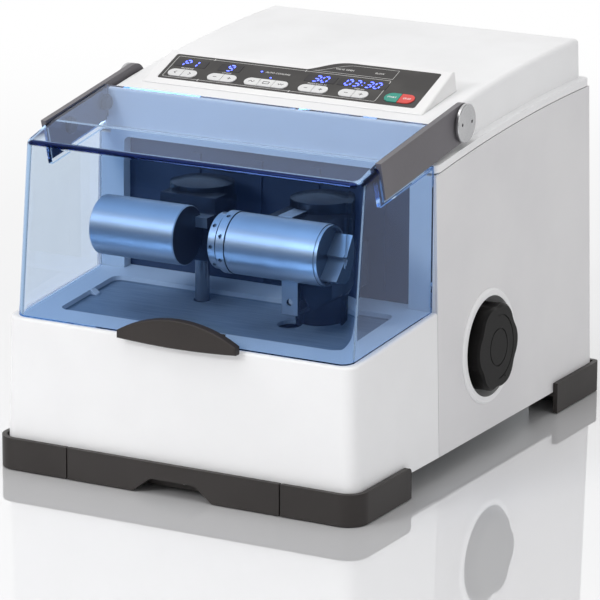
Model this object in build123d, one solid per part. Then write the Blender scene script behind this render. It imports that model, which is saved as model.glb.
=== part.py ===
"""Mixer mill with a cooled jar: bench housing, tilting clear hood, rocking jar and counterweight.

Frame: X to the operator's right, Y away from the operator, Z up, millimetres.
Origin: bench level, on the middle plane, halfway from the front skirt to the rear connector's end.
"""
from build123d import *
import math
import os

# Overall
BODY_WIDTH = 395.0
BODY_DEPTH = 527.0
REAR_REACH = 50.0
CUT_OVERRUN = 2.0
SEAT_GAP = 0.3
RUNNING_GAP = 0.05

# Skirt round the foot of the housing
SKIRT_HEIGHT = 31.6
SKIRT_WALL = 4.8
SKIRT_CORNER_RADIUS = 21.0
SKIRT_SIDE_LENGTH = 108.0
SKIRT_END_RADIUS = 6.0
SKIRT_LIP_WIDTH = 17.0
SKIRT_LIP_THICKNESS = 4.0
SKIRT_STEP_SIDE = 5.5
SKIRT_STEP_FRONT = 8.0
BENCH_CLEARANCE = 0.8
SEAM_GAP = 1.5
REAR_FOOT_LENGTH = 100.5
REAR_FOOT_RETURN = 62.0
REAR_FOOT_CORNER_RADIUS = 7.0
REAR_STEP = 9.5

# Housing walls
HOUSING_BOTTOM = 22.0
SIDE_DRAFT_SHARE = 0.026
FRONT_LEAN_SHARE = 0.014
PLAN_TAPER = 2.0
SHELL_WALL = 4.0
SHELL_CORNER_RADIUS = 12.5
SHELL_RIM_RADIUS = 3.0
PANEL_SEAM_FROM_FRONT = 174.5
PANEL_SEAM_GAP = 0.8
PANEL_WALL = 2.5
PANEL_REAR_LEAN_SHARE = 0.011

# Milling chamber floor
FLOOR_FRONT_HEIGHT = 150.0
FLOOR_RISE_SHARE = 0.085
FLOOR_FRONT_INSET = 5.0
TRAY_SIDE_INSET = 45.5
TRAY_FRONT_INSET = 35.0
TRAY_LENGTH = 106.0
TRAY_DEPTH = 6.0
TRAY_CORNER_RADIUS = 9.0
TRAY_CLIP_WIDTH = 9.0
TRAY_CLIP_HEIGHT = 3.0
TRAY_CLIP_FROM_FRONT = 58.0
FLOOR_PORT_RADIUS = 12.0
FLOOR_PORT_LEFT = 19.0
FLOOR_PORT_FRONT = 29.0

# Chamber rear wall
SURROUND_DEPTH = 12.0
SURROUND_BAR = 8.0
SURROUND_BELOW_FLANGE = 1.7
WINDOW_SIDE_INSET = 42.5
WINDOW_CORNER_RADIUS = 6.0
BULKHEAD_WALL = 3.5
BULKHEAD_LAP = 8.0
BULKHEAD_RIB_WIDTH = 10.0
BULKHEAD_RIB_HEIGHT = 2.0

# Top cover
FLANGE_FRONT_HEIGHT = 296.7
FLANGE_RISE = 23.0
FLANGE_CROWN = 5.9
FLANGE_THICKNESS = 7.5
FLANGE_PROUD = 0.6
FLANGE_CORNER_RADIUS = 7.0
DECK_FRONT_LIFT = 43.8
DECK_REAR_LIFT = 47.3
DECK_CROWN = 6.25
COVER_SIDE_INSET = 21.0
COVER_SIDE_LEAN = 2.5
COVER_EDGE_RADIUS = 5.0
COVER_FRONT_INSET = 4.0
COVER_REAR_INSET = 6.0
COVER_WALL = 3.6
FASCIA_LIFT = 4.8
PANEL_TO_FLANGE_GAP = 1.2
HINGE_BOSS_RADIUS = 10.0
HINGE_BOSS_LENGTH = 12.0

# Control console
CONSOLE_FROM_SEAM = 31.5
CONSOLE_FRONT_LIFT = 5.0
CONSOLE_SLOPE_DEG = 21.0
CONSOLE_DEPTH_LEFT = 57.5
CONSOLE_DEPTH_RIGHT = 74.0
CONSOLE_SIDE_INSET = 42.0
CONSOLE_SIDE_LEAN = 5.0
CONSOLE_STEP_SPAN = 42.0
CONSOLE_STEP_X = 4.0
CONSOLE_STEP_RISE_SHARE = 0.45
CONSOLE_EDGE_RADIUS = 2.0
CONSOLE_WALL = 3.0
DECK_OPENING_MARGIN = 5.0
OVERLAY_THICKNESS = 0.9
OVERLAY_SIDE_INSET = 56.5
OVERLAY_FRONT_MARGIN = 9.0
OVERLAY_LENGTH_LEFT = 43.6
OVERLAY_LENGTH_RIGHT = 62.0
OVERLAY_CORNER_RADIUS = 2.5
OVERLAY_RECESS_GAP = 0.25
BOARD_THICKNESS = 1.6
BOARD_DEPTH_BELOW = 13.0
BOARD_MARGIN = 2.5

# Keys, counted along the overlay from its front edge
KEY_WIDTH_SHARE = 0.11348
KEY_LENGTH = 12.6
KEY_ROW_FROM_EDGE = 11.4
KEY_SIDE_GAP = 0.3
KEY_PROUD = 0.7
KEY_FLANGE = 1.4
KEY_FLANGE_THICKNESS = 1.4
KEY_TRAVEL = 0.6
KEY_SWITCH_WIDTH = 5.0
MAIN_KEY_LENGTH = 15.4
MAIN_KEY_ROW_FROM_EDGE = 13.0

# Display windows
DISPLAY_LENGTH = 12.0
DISPLAY_ROW_FROM_EDGE = 29.4
DISPLAY_PROUD = 0.15
LAMP_RADIUS = 1.5

# Clear hood
HOOD_WALL = 4.0
HOOD_SIDE_INSET_FRONT = 17.0
HOOD_SIDE_INSET_REAR = 14.0
HOOD_FRONT_INSET = 5.0
HOOD_FRONT_SETBACK = 19.0
HOOD_FRONT_DROP = 27.4
HOOD_BEND_FROM_REAR = 97.8
HOOD_BEND_DROP = 15.3
HOOD_REAR_LIFT = 4.3
HOOD_TOP_REAR_GAP = 2.2
HOOD_SIDE_REAR_GAP = 1.2
HOOD_CORNER_RADIUS = 12.0
HOOD_BEND_RADIUS = 7.0
HOOD_SEAT_GAP = 0.4
POCKET_INSET = 20.5
POCKET_MARGIN = 1.6

# Hood arms, pivots and screws
PIVOT_FROM_SEAM = 59.5
PIVOT_BELOW_DECK = 4.8
ARM_SLOPE_DEG = 8.6
ARM_HEIGHT = 37.7
ARM_THICKNESS = 5.7
ARM_REACH = 163.0
ARM_END_LEAN_DEG = 8.0
PIVOT_PIN_RADIUS = 6.0
PIVOT_NECK_RADIUS = 16.5
PIVOT_NECK_LENGTH = 1.2
PIVOT_DISC_RADIUS = 18.8
PIVOT_DISC_THICKNESS = 3.8
PIVOT_DISC_CHAMFER = 0.8
SPANNER_HOLE_RADIUS = 1.6
SPANNER_HOLE_DEPTH = 2.5
SPANNER_HOLE_OFFSET = 9.9
ARM_SCREW_FIRST = 65.0
ARM_SCREW_PITCH = 65.6
ARM_SCREW_RADIUS = 3.0
ARM_SCREW_DEPTH = 3.6
ARM_SCREW_CAP_RADIUS = 8.0
ARM_SCREW_CAP_HEIGHT = 5.0

# Hood handle
HANDLE_WIDTH = 128.0
HANDLE_OFFSET = 5.0
HANDLE_END_HEIGHT = 7.6
HANDLE_MID_HEIGHT = 25.0
HANDLE_SAG = 2.4
HANDLE_THICKNESS = 8.2
HANDLE_BOTTOM = 148.4
HANDLE_EDGE_RADIUS = 1.4
HANDLE_STANDOFF = 1.0
HANDLE_PAD_WIDTH = 90.0
HANDLE_PAD_HEIGHT = 11.0
HANDLE_PAD_LIFT = 3.6

# Rockers: jar on the right, counterweight on the left
JAR_PIVOT_X = 85.0
COUNTER_PIVOT_X = -46.0
ROCKERS_BEFORE_SEAM = 35.0
ROCKER_SHAFT_RADIUS = 10.0
COUNTER_NECK_RADIUS = 7.0
FOOT_RADIUS = 24.0
HEAD_RADIUS = 33.0
HEAD_BOTTOM = 207.0
COLUMN_TOP = 277.0
COLUMN_DOME_RISE = 5.0
COLUMN_STEP = 2.0
COLUMN_STEP_DROP = 20.0
COLUMN_FLOOR_GAP = 1.0
COLUMN_HOLE_GAP = 1.5

# Jar line
JAR_BEFORE_ROCKERS = 69.0
JAR_AXIS_Z = 236.3
SLEEVE_LEFT_X = 33.0
SLEEVE_RIGHT_X = 131.0
SLEEVE_RADIUS = 29.3
SLEEVE_BORE_RADIUS = 27.0
SLEEVE_RIM_RADIUS = 28.6
SLEEVE_RIM_LENGTH = 3.4
COLLAR_LENGTH = 8.4
COLLAR_RADIUS = 29.8
COLLAR_GROOVE = 1.2
COLLAR_GROOVE_DEPTH = 1.4
RING_HOLE_RADIUS = 2.0
RING_HOLE_DEPTH = 3.0
RING_HOLE_COUNT = 8
JAR_RADIUS = 26.6
JAR_WALL = 7.0
CAP_RADIUS = 26.8
CAP_LENGTH = 8.0
CAP_GAP = 2.6
JAR_END_RECESS = 4.5
END_KEY_PROUD = 13.0
END_KEY_RADIUS = 24.5
END_KEY_STEP = 5.0
END_KEY_TURN_DEG = 45.0
GRINDING_BALL_RADIUS = 10.0

# Jar carrier
CARRIER_BLOCK_WIDTH = 60.0
CARRIER_BLOCK_FRONT = 8.0
CARRIER_BLOCK_BOTTOM = 199.0
CARRIER_BLOCK_TOP = 262.0
SADDLE_WIDTH = 32.0
SADDLE_PROUD = 5.0
SADDLE_SHOULDER = 5.0
SADDLE_POINT = 20.0
BRACKET_WIDTH = 17.0
BRACKET_RIGHT = 13.6
BRACKET_THICKNESS = 4.0
BRACKET_DROP = 36.0
BRACKET_HOLE_RADIUS = 3.3
FORK_WIDTH = 15.0
FORK_THICKNESS = 3.5
FORK_REACH = 45.0
FORK_RIGHT = 0.9

# Counterweight
COUNTER_RADIUS = 28.7
COUNTER_LEFT_X = -113.6
COUNTER_RIGHT_X = -22.0
COUNTER_BLOCK_LEFT_X = -69.0
COUNTER_BLOCK_RIGHT_X = -9.0
COUNTER_BLOCK_TOP = 267.0
COUNTER_BLOCK_BOTTOM = 205.0
COUNTER_EDGE = 0.8
COUNTER_KEY_WIDTH = 10.0
COUNTER_KEY_HEIGHT = 5.0

# Base plate and drive frame
BASE_PLATE_THICKNESS = 8.0
BASE_PLATE_MARGIN = 6.0
FOOT_PAD_RADIUS = 19.0
FOOT_PAD_FROM_SIDE = 37.5
FOOT_PAD_FROM_END = 43.5
FRAME_PLATE = 12.0
FRAME_CLEAR_HEIGHT = 62.0
FRAME_MARGIN_X = 37.0
FRAME_CHEEK = 8.0
FRAME_HALF_DEPTH = 34.0
FRAME_TAIL = 97.5
BEARING_RADIUS = 21.0
BEARING_WIDTH = 10.0
CRANK_BEARING_RADIUS = 16.0
LEVER_WIDTH = 16.0
LEVER_THICKNESS = 10.0
LEVER_HUB_RADIUS = 17.0
DRIVE_PIN_RADIUS = 5.0
DRIVE_PIN_CLEARANCE = 0.35
LEVER_LIFT = 18.0
YOKE_THICKNESS = 16.0
YOKE_GAP = 0.5
YOKE_HALF_WIDTH = 19.0
YOKE_EAR_HALF_WIDTH = 38.5
YOKE_EAR_FRONT = 21.5
YOKE_EAR_LENGTH = 20.0
YOKE_END = 13.0
YOKE_SLOT_DEPTH = 7.0
YOKE_SLOT_EXTRA = 2.5
GUIDE_ROD_RADIUS = 4.0
GUIDE_ROD_OFFSET = 30.0
GUIDE_BAR = 10.0
GUIDE_BAR_HALF_WIDTH = 50.0
GUIDE_BAR_HEIGHT = 22.0
GUIDE_POST = 8.0
CRANK_FROM_PIVOTS = 54.5
CRANK_RADIUS = 9.1
CRANK_SHAFT_RADIUS = 8.0
CRANK_WEB_RADIUS = 17.0
CRANK_WEB_THICKNESS = 9.0
PULLEY_WIDTH = 12.0
PULLEY_LIFT = 1.0
DRIVEN_PULLEY_RADIUS = 30.0
PULLEY_RATIO_SHARE = 0.5
PULLEY_FLANGE = 3.0
PULLEY_FLANGE_WIDTH = 1.5
BELT_THICKNESS = 3.0
MOTOR_FROM_CRANK = 150.0
MOTOR_RADIUS = 54.0
MOTOR_HEIGHT = 158.0
MOTOR_FLANGE_THICKNESS = 8.0
MOTOR_FLANGE_HALF = 60.0
MOTOR_LEG = 14.0
MOTOR_FLANGE_LIFT = 32.0
MOTOR_FIN_COUNT = 16
MOTOR_FIN_HEIGHT = 5.0
MOTOR_FIN_WIDTH = 3.0
MOTOR_CAP_HEIGHT = 12.0
MOTOR_SHAFT_RADIUS = 6.0
MOTOR_SHAFT_LENGTH = 50.0

# Side knob and its bezel
KNOB_FROM_SEAM = 106.7
KNOB_Z = 106.0
BEZEL_RADIUS = 56.5
BEZEL_INNER_RADIUS = 49.5
BEZEL_PROUD = 2.6
BEZEL_EDGE = 1.6
CUP_DEPTH = 26.0
CUP_WALL = 2.5
KNOB_RADIUS = 43.5
KNOB_WAIST = 3.4
KNOB_LOBES = 6
KNOB_LOBE_RADIUS = 24.0
KNOB_PROUD = 12.0
KNOB_THICKNESS = 27.0
KNOB_EDGE_RADIUS = 2.0
KNOB_SHAFT_RADIUS = 8.0
KNOB_SHAFT_LENGTH = 15.0
KNOB_BOSS_RADIUS = 17.7
KNOB_GROOVE_RADIUS = 31.0
KNOB_GROOVE_WIDTH = 1.2
KNOB_GROOVE_DEPTH = 0.8
KNOB_DOT_RADIUS = 1.0
KNOB_DOT_FROM_AXIS = 34.0
KNOB_DOT_DEG = 68.0

# Accessory drawer in the front skirt
DRAWER_HALF_WIDTH_SHARE = 0.5814
DRAWER_DEPTH = 150.0
DRAWER_WALL = 2.0
DRAWER_SIDE_GAP = 1.2
DRAWER_TOP_GAP = 1.6
ARCH_HALF_WIDTH = 44.0
ARCH_HEIGHT = 15.5
ARCH_FLAT_HALF_WIDTH = 24.0
RAIL_WALL = 3.0
RAIL_LEDGE = 5.0
CATCH_RADIUS = 2.2
CATCH_LENGTH = 5.0

# Rear panel fittings
FAN_FROM_SIDE = 102.5
FAN_Z = 215.0
FAN_HALF = 46.0
FAN_DEPTH = 25.0
FAN_BORE_RADIUS = 43.0
FAN_HUB_RADIUS = 17.0
FAN_BLADE_RADIUS = 41.0
FAN_BLADE_COUNT = 7
FAN_BLADE_WIDTH = 15.0
FAN_BLADE_THICKNESS = 2.0
FAN_BLADE_TWIST_DEG = 38.0
FAN_HOLE_RADIUS = 2.2
FAN_HOLE_OFFSET = 41.2
FAN_SPIDER_WIDTH = 6.0
FAN_SPIDER_THICKNESS = 4.0
GRILLE_SLOT_WIDTH = 5.0
GRILLE_SLOT_PITCH = 9.5
GRILLE_SLOT_COUNT = 9
INLET_FROM_SIDE = 62.5
INLET_Z = 75.0
INLET_WIDTH = 48.0
INLET_HEIGHT = 31.0
INLET_FLANGE = 2.5
INLET_BODY_DEPTH = 24.0
INLET_MOUTH_WIDTH = 27.0
INLET_MOUTH_HEIGHT = 19.5
INLET_MOUTH_DEPTH = 18.0
INLET_MOUTH_RADIUS = 4.0
INLET_PIN_WIDTH = 2.0
INLET_PIN_HEIGHT = 4.0
INLET_PIN_LENGTH = 14.0
INLET_PIN_PITCH = 7.0
SWITCH_FROM_INLET = 53.0
SWITCH_WIDTH = 15.0
SWITCH_HEIGHT = 22.0
SWITCH_GAP = 0.5
SWITCH_FRAME = 4.0
SWITCH_DEPTH = 12.0
SWITCH_DISH_SHARE = 0.7
SWITCH_TILT_DEG = 8.0
SWITCH_PIN_RADIUS = 1.5
NITROGEN_FROM_SIDE = 87.5
NITROGEN_Z = 110.0
NITROGEN_FLANGE_RADIUS = 24.0
NITROGEN_FLANGE_THICKNESS = 6.0
NITROGEN_STUB_RADIUS = 13.0
NITROGEN_BORE_RADIUS = 5.0
NITROGEN_HEX_RADIUS = 19.0
NITROGEN_HEX_LENGTH = 14.0
NITROGEN_TAIL = 34.0
EXHAUST_FROM_SIDE = 87.5
EXHAUST_Z = 185.0
EXHAUST_RADIUS = 16.0
EXHAUST_BORE_RADIUS = 13.0
EXHAUST_LENGTH = 34.0
EXHAUST_FLANGE_RADIUS = 25.0
EXHAUST_FLANGE_THICKNESS = 4.0

# Places along the overlay, as shares of its half width: first key of each group and its key names
KEY_GROUPS_SHARES = [
    (-0.953, ("program_down", "program_up")),
    (-0.640, ("cycles_down", "cycles_up")),
    (-0.349, ("cooling_down", "cooling_mode", "cooling_up")),
    (0.074, ("frequency_down", "frequency_up")),
    (0.385, ("time_down", "time_up")),
]
MAIN_KEYS_SHARE = 0.732
MAIN_KEY_NAMES = ("start", "stop")
DISPLAY_SPANS_SHARES = [(-0.960, -0.710), (-0.610, -0.435), (0.070, 0.305), (0.325, 0.700)]
LAMP_PLACES_SHARES = [(-0.279, 0.690), (-0.177, 0.490)]

# Derived places
FRONT_Y = -(BODY_DEPTH + REAR_REACH) / 2
REAR_Y = FRONT_Y + BODY_DEPTH
PANEL_SEAM_Y = FRONT_Y + PANEL_SEAM_FROM_FRONT
CONSOLE_FRONT_Y = PANEL_SEAM_Y + CONSOLE_FROM_SEAM
PIVOT_Y = PANEL_SEAM_Y + PIVOT_FROM_SEAM
ROCKER_PIVOT_Y = PANEL_SEAM_Y - ROCKERS_BEFORE_SEAM
JAR_AXIS_Y = ROCKER_PIVOT_Y - JAR_BEFORE_ROCKERS
KNOB_Y = PANEL_SEAM_Y + KNOB_FROM_SEAM
HALF_WIDTH_LOW = BODY_WIDTH / 2 - SKIRT_STEP_SIDE
SHELL_FRONT_Y = FRONT_Y + SKIRT_STEP_FRONT
PANEL_REAR_Y = REAR_Y - REAR_STEP
FLOOR_FRONT_Y = SHELL_FRONT_Y + FLOOR_FRONT_INSET
FLANGE_REAR_HEIGHT = FLANGE_FRONT_HEIGHT + FLANGE_RISE
FLANGE_MID_HEIGHT = (FLANGE_FRONT_HEIGHT + FLANGE_REAR_HEIGHT) / 2 + FLANGE_CROWN
DECK_FRONT_HEIGHT = FLANGE_FRONT_HEIGHT + DECK_FRONT_LIFT
DECK_REAR_HEIGHT = FLANGE_REAR_HEIGHT + DECK_REAR_LIFT
DECK_MID_HEIGHT = (DECK_FRONT_HEIGHT + DECK_REAR_HEIGHT) / 2 + DECK_CROWN
FASCIA_BOTTOM = FLANGE_FRONT_HEIGHT + FASCIA_LIFT
SURROUND_SIDE_TOP = FLANGE_FRONT_HEIGHT - SURROUND_BELOW_FLANGE
CONSOLE_FRONT_HEIGHT = DECK_FRONT_HEIGHT + CONSOLE_FRONT_LIFT
PIVOT_Z = DECK_FRONT_HEIGHT - PIVOT_BELOW_DECK
HOOD_REAR_HEIGHT = DECK_FRONT_HEIGHT + HOOD_REAR_LIFT
HOOD_BEND_HEIGHT = HOOD_REAR_HEIGHT - HOOD_BEND_DROP
HOOD_FRONT_TOP_HEIGHT = HOOD_REAR_HEIGHT - HOOD_FRONT_DROP
HOOD_HALF_WIDTH_FRONT = BODY_WIDTH / 2 - HOOD_SIDE_INSET_FRONT
HOOD_HALF_WIDTH_REAR = BODY_WIDTH / 2 - HOOD_SIDE_INSET_REAR
COVER_HALF_WIDTH_LOW = BODY_WIDTH / 2 - COVER_SIDE_INSET
COVER_HALF_WIDTH_TOP = COVER_HALF_WIDTH_LOW - COVER_SIDE_LEAN
CONSOLE_HALF_WIDTH_BASE = BODY_WIDTH / 2 - CONSOLE_SIDE_INSET
CONSOLE_HALF_WIDTH_TOP = CONSOLE_HALF_WIDTH_BASE - CONSOLE_SIDE_LEAN
OVERLAY_HALF_WIDTH = BODY_WIDTH / 2 - OVERLAY_SIDE_INSET
KEY_WIDTH = OVERLAY_HALF_WIDTH * KEY_WIDTH_SHARE
TRAY_HALF_WIDTH = BODY_WIDTH / 2 - TRAY_SIDE_INSET
WINDOW_HALF_WIDTH = BODY_WIDTH / 2 - WINDOW_SIDE_INSET
POCKET_WALL_X = BODY_WIDTH / 2 - POCKET_INSET
FOOT_PAD_X = BODY_WIDTH / 2 - FOOT_PAD_FROM_SIDE
FAN_X = BODY_WIDTH / 2 - FAN_FROM_SIDE
INLET_X = BODY_WIDTH / 2 - INLET_FROM_SIDE
SWITCH_X = INLET_X - SWITCH_FROM_INLET
NITROGEN_X = NITROGEN_FROM_SIDE - BODY_WIDTH / 2
EXHAUST_X = EXHAUST_FROM_SIDE - BODY_WIDTH / 2
SURROUND_FRONT_Y = PANEL_SEAM_Y + PANEL_SEAM_GAP
BULKHEAD_Y = SURROUND_FRONT_Y + SURROUND_DEPTH
COVER_FRONT_Y = PANEL_SEAM_Y + COVER_FRONT_INSET
BASE_TOP = HOUSING_BOTTOM + BASE_PLATE_THICKNESS
SEAM_HALF_WIDTH = BODY_WIDTH / 2 * DRAWER_HALF_WIDTH_SHARE
ARM_OUTER_X = POCKET_WALL_X + ARM_THICKNESS
YOKE_X = (JAR_PIVOT_X + COUNTER_PIVOT_X) / 2
LEVER_REACH = (JAR_PIVOT_X - COUNTER_PIVOT_X) / 2
FRAME_TOP_PLATE = BASE_TOP + FRAME_PLATE + FRAME_CLEAR_HEIGHT
LOWER_LEVER_Z = BASE_TOP + FRAME_PLATE + LEVER_LIFT
YOKE_BOTTOM = LOWER_LEVER_Z + LEVER_THICKNESS + YOKE_GAP
YOKE_TOP = YOKE_BOTTOM + YOKE_THICKNESS
UPPER_LEVER_Z = YOKE_TOP + YOKE_GAP
CRANK_X = YOKE_X - CRANK_RADIUS
CRANK_Y = ROCKER_PIVOT_Y + CRANK_FROM_PIVOTS
MOTOR_Y = CRANK_Y + MOTOR_FROM_CRANK
PULLEY_BOTTOM = BASE_TOP + FRAME_PLATE + PULLEY_LIFT
MOTOR_FLANGE_Z = BASE_TOP + MOTOR_FLANGE_LIFT


def half_width(z):
    """Half width of the drafted housing side at height z."""
    return HALF_WIDTH_LOW - SIDE_DRAFT_SHARE * (z - SKIRT_HEIGHT)


def front_face(z):
    """Y of the leaning front face at height z."""
    return SHELL_FRONT_Y + FRONT_LEAN_SHARE * (z - SKIRT_HEIGHT)


def rear_face(z):
    """Y of the leaning rear face at height z."""
    return PANEL_REAR_Y - PANEL_REAR_LEAN_SHARE * (z - SKIRT_HEIGHT)


def floor_height(y):
    """Height of the sloping chamber floor at depth y."""
    return FLOOR_FRONT_HEIGHT + FLOOR_RISE_SHARE * (y - FLOOR_FRONT_Y)


def block(x0, x1, y0, y1, z0, z1):
    """Box between two opposite corners."""
    centre = Pos((x0 + x1) / 2, (y0 + y1) / 2, (z0 + z1) / 2)
    return centre * Box(x1 - x0, y1 - y0, z1 - z0)


def post(x, y, z0, z1, radius):
    """Upright cylinder."""
    return Pos(x, y, (z0 + z1) / 2) * Cylinder(radius, z1 - z0)


def bar_x(x0, x1, y, z, radius):
    """Cylinder along X."""
    return Pos((x0 + x1) / 2, y, z) * Rot(0, 90, 0) * Cylinder(radius, x1 - x0)


def bar_y(y0, y1, x, z, radius):
    """Cylinder along Y."""
    return Pos(x, (y0 + y1) / 2, z) * Rot(90, 0, 0) * Cylinder(radius, y1 - y0)


def side_prism(points, x0, x1):
    """Closed outline in depth and height, carried from x0 to x1."""
    face = Plane.YZ * make_face(Polyline(*points, close=True))
    return Pos(x0, 0, 0) * extrude(face, amount=x1 - x0, dir=(1, 0, 0))


def front_prism(points, y0, y1):
    """Closed outline in width and height, carried from y0 to y1."""
    face = Plane.XZ * make_face(Polyline(*points, close=True))
    return Pos(0, y0, 0) * extrude(face, amount=y1 - y0, dir=(0, 1, 0))


def rounded_plan(x0, x1, y0, y1, z0, z1, radius):
    """Upright block with rounded corners."""
    face = RectangleRounded(x1 - x0, y1 - y0, radius)
    return Pos((x0 + x1) / 2, (y0 + y1) / 2, z0) * extrude(face, amount=z1 - z0)


def mirrored(solid):
    """The same piece on the other side of the middle plane."""
    return mirror(solid, about=Plane.YZ)


def drafted_slab(inset, z0, z1, y0, y1):
    """Everything between the two drafted sides, set in by inset."""
    low = half_width(z0) - inset
    top = half_width(z1) - inset
    return front_prism([(-low, z0), (low, z0), (top, z1), (-top, z1)], y0, y1)


def flange_arc(drop):
    """Underside line of the cover flange, lowered by drop, from front to rear."""
    y0 = PANEL_SEAM_Y
    y1 = rear_face(FLANGE_REAR_HEIGHT)
    return ThreePointArc((y0, FLANGE_FRONT_HEIGHT - drop), ((y0 + y1) / 2, FLANGE_MID_HEIGHT - drop),
                         (y1, FLANGE_REAR_HEIGHT - drop))


def below_arc(arc, bottom, x_half):
    """Everything under a front to rear arc, down to bottom."""
    y0 = (arc @ 0).X
    z0 = (arc @ 0).Y
    y1 = (arc @ 1).X
    z1 = (arc @ 1).Y
    rest = Polyline((y1, z1), (y1, bottom), (y0, bottom), (y0, z0))
    face = Plane.YZ * make_face([arc, rest])
    return Pos(-x_half, 0, 0) * extrude(face, amount=2 * x_half, dir=(1, 0, 0))


def shell_plan(z, inset, radius):
    """Section of the front shell at height z, set in by inset."""
    rear = half_width(z) - inset
    front = rear - PLAN_TAPER
    y_front = front_face(z) + inset
    points = [(-rear, PANEL_SEAM_Y), (-front, y_front), (front, y_front), (rear, PANEL_SEAM_Y)]
    face = make_face(Polyline(*points, close=True))
    corners = face.vertices().sort_by(Axis.Y)[:2]
    return Pos(0, 0, z) * fillet(corners, radius)


def under_floor(drop, y0, y1, bottom):
    """Everything under the chamber floor, lowered by drop."""
    return side_prism([(y0, bottom), (y1, bottom), (y1, floor_height(y1) - drop),
                       (y0, floor_height(y0) - drop)], -BODY_WIDTH / 2, BODY_WIDTH / 2)


def build_front_shell():
    """White front moulding with the chamber floor, its tray and the two column holes."""
    over = CUT_OVERRUN
    top = floor_height(PANEL_SEAM_Y) + over
    outer = loft([shell_plan(HOUSING_BOTTOM, 0, SHELL_CORNER_RADIUS),
                  shell_plan(top, 0, SHELL_CORNER_RADIUS)])
    outer &= under_floor(0, FRONT_Y, PANEL_SEAM_Y + over, 0)
    rim = [e for e in outer.edges() if e.center().Z > FLOOR_FRONT_HEIGHT - over
           and e.center().Y < PANEL_SEAM_Y - over]
    outer = fillet(rim, SHELL_RIM_RADIUS)
    inner_radius = SHELL_CORNER_RADIUS - SHELL_WALL
    inner = loft([shell_plan(HOUSING_BOTTOM - over, SHELL_WALL, inner_radius),
                  shell_plan(top, SHELL_WALL, inner_radius)])
    inner = inner + block(-half_width(top) + SHELL_WALL, half_width(top) - SHELL_WALL,
                          PANEL_SEAM_Y - over, PANEL_SEAM_Y + over, HOUSING_BOTTOM - over, top)
    inner &= under_floor(SHELL_WALL, FRONT_Y, PANEL_SEAM_Y + over, HOUSING_BOTTOM - over)
    shell = outer - inner
    sill = block(-WINDOW_HALF_WIDTH + SEAT_GAP, WINDOW_HALF_WIDTH - SEAT_GAP,
                 PANEL_SEAM_Y - SHELL_WALL, BULKHEAD_Y - SEAT_GAP, HOUSING_BOTTOM, top + SHELL_WALL)
    sill &= under_floor(0, FRONT_Y, 0, 0) - under_floor(SHELL_WALL, FRONT_Y, 0, 0)
    shell += sill
    tray_front = FLOOR_FRONT_Y + TRAY_FRONT_INSET
    pocket = rounded_plan(-TRAY_HALF_WIDTH, TRAY_HALF_WIDTH, tray_front, tray_front + TRAY_LENGTH,
                          0, top + over, TRAY_CORNER_RADIUS)
    dish = rounded_plan(-TRAY_HALF_WIDTH - SHELL_WALL, TRAY_HALF_WIDTH + SHELL_WALL,
                        tray_front - SHELL_WALL, tray_front + TRAY_LENGTH + SHELL_WALL,
                        0, top, TRAY_CORNER_RADIUS + SHELL_WALL)
    shell += dish & (under_floor(SHELL_WALL, FRONT_Y, 0, 0)
                     - under_floor(TRAY_DEPTH + SHELL_WALL, FRONT_Y, 0, 0))
    shell -= pocket - under_floor(TRAY_DEPTH, FRONT_Y, 0, 0)
    shell += tray_clip(tray_front)
    for x, radius in ((JAR_PIVOT_X, FOOT_RADIUS), (COUNTER_PIVOT_X, COUNTER_NECK_RADIUS)):
        shell -= post(x, ROCKER_PIVOT_Y, HOUSING_BOTTOM, COLUMN_TOP, radius + COLUMN_HOLE_GAP)
    shell -= post(JAR_PIVOT_X - FLOOR_PORT_LEFT, ROCKER_PIVOT_Y - FLOOR_PORT_FRONT, HOUSING_BOTTOM,
                  COLUMN_TOP, FLOOR_PORT_RADIUS)
    return shell


def tray_clip(tray_front):
    """Small ramped nose on the left wall of the floor tray."""
    x0 = -TRAY_HALF_WIDTH
    y0 = tray_front + TRAY_CLIP_FROM_FRONT
    z0 = floor_height(y0) - TRAY_DEPTH
    nose = front_prism([(x0 - TRAY_CLIP_HEIGHT, z0), (x0 + TRAY_CLIP_WIDTH, z0),
                        (x0, z0 + TRAY_DEPTH), (x0 - TRAY_CLIP_HEIGHT, z0 + TRAY_DEPTH)],
                       y0, y0 + TRAY_CLIP_WIDTH)
    return nose


def build_chamber_surround():
    """White frame round the chamber's rear opening."""
    z0 = HOUSING_BOTTOM + BASE_PLATE_THICKNESS + SEAT_GAP
    top = FASCIA_BOTTOM - SEAT_GAP
    frame = drafted_slab(PANEL_WALL + SEAT_GAP, z0, SURROUND_SIDE_TOP, SURROUND_FRONT_Y, BULKHEAD_Y)
    half = COVER_HALF_WIDTH_TOP - COVER_WALL - SEAT_GAP
    frame += block(-half, half, SURROUND_FRONT_Y, BULKHEAD_Y, z0, top)
    sill_height = floor_height(PANEL_SEAM_Y) - SHELL_WALL - SURROUND_BAR
    window = rounded_plan(-WINDOW_HALF_WIDTH, WINDOW_HALF_WIDTH, sill_height,
                          top - SURROUND_BAR, -CUT_OVERRUN, SURROUND_DEPTH + CUT_OVERRUN,
                          WINDOW_CORNER_RADIUS)
    frame -= Pos(0, BULKHEAD_Y, 0) * Rot(90, 0, 0) * window
    under = block(-WINDOW_HALF_WIDTH, WINDOW_HALF_WIDTH, SURROUND_FRONT_Y - CUT_OVERRUN,
                  BULKHEAD_Y + CUT_OVERRUN, 0, sill_height - SURROUND_BAR)
    return frame - under


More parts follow.
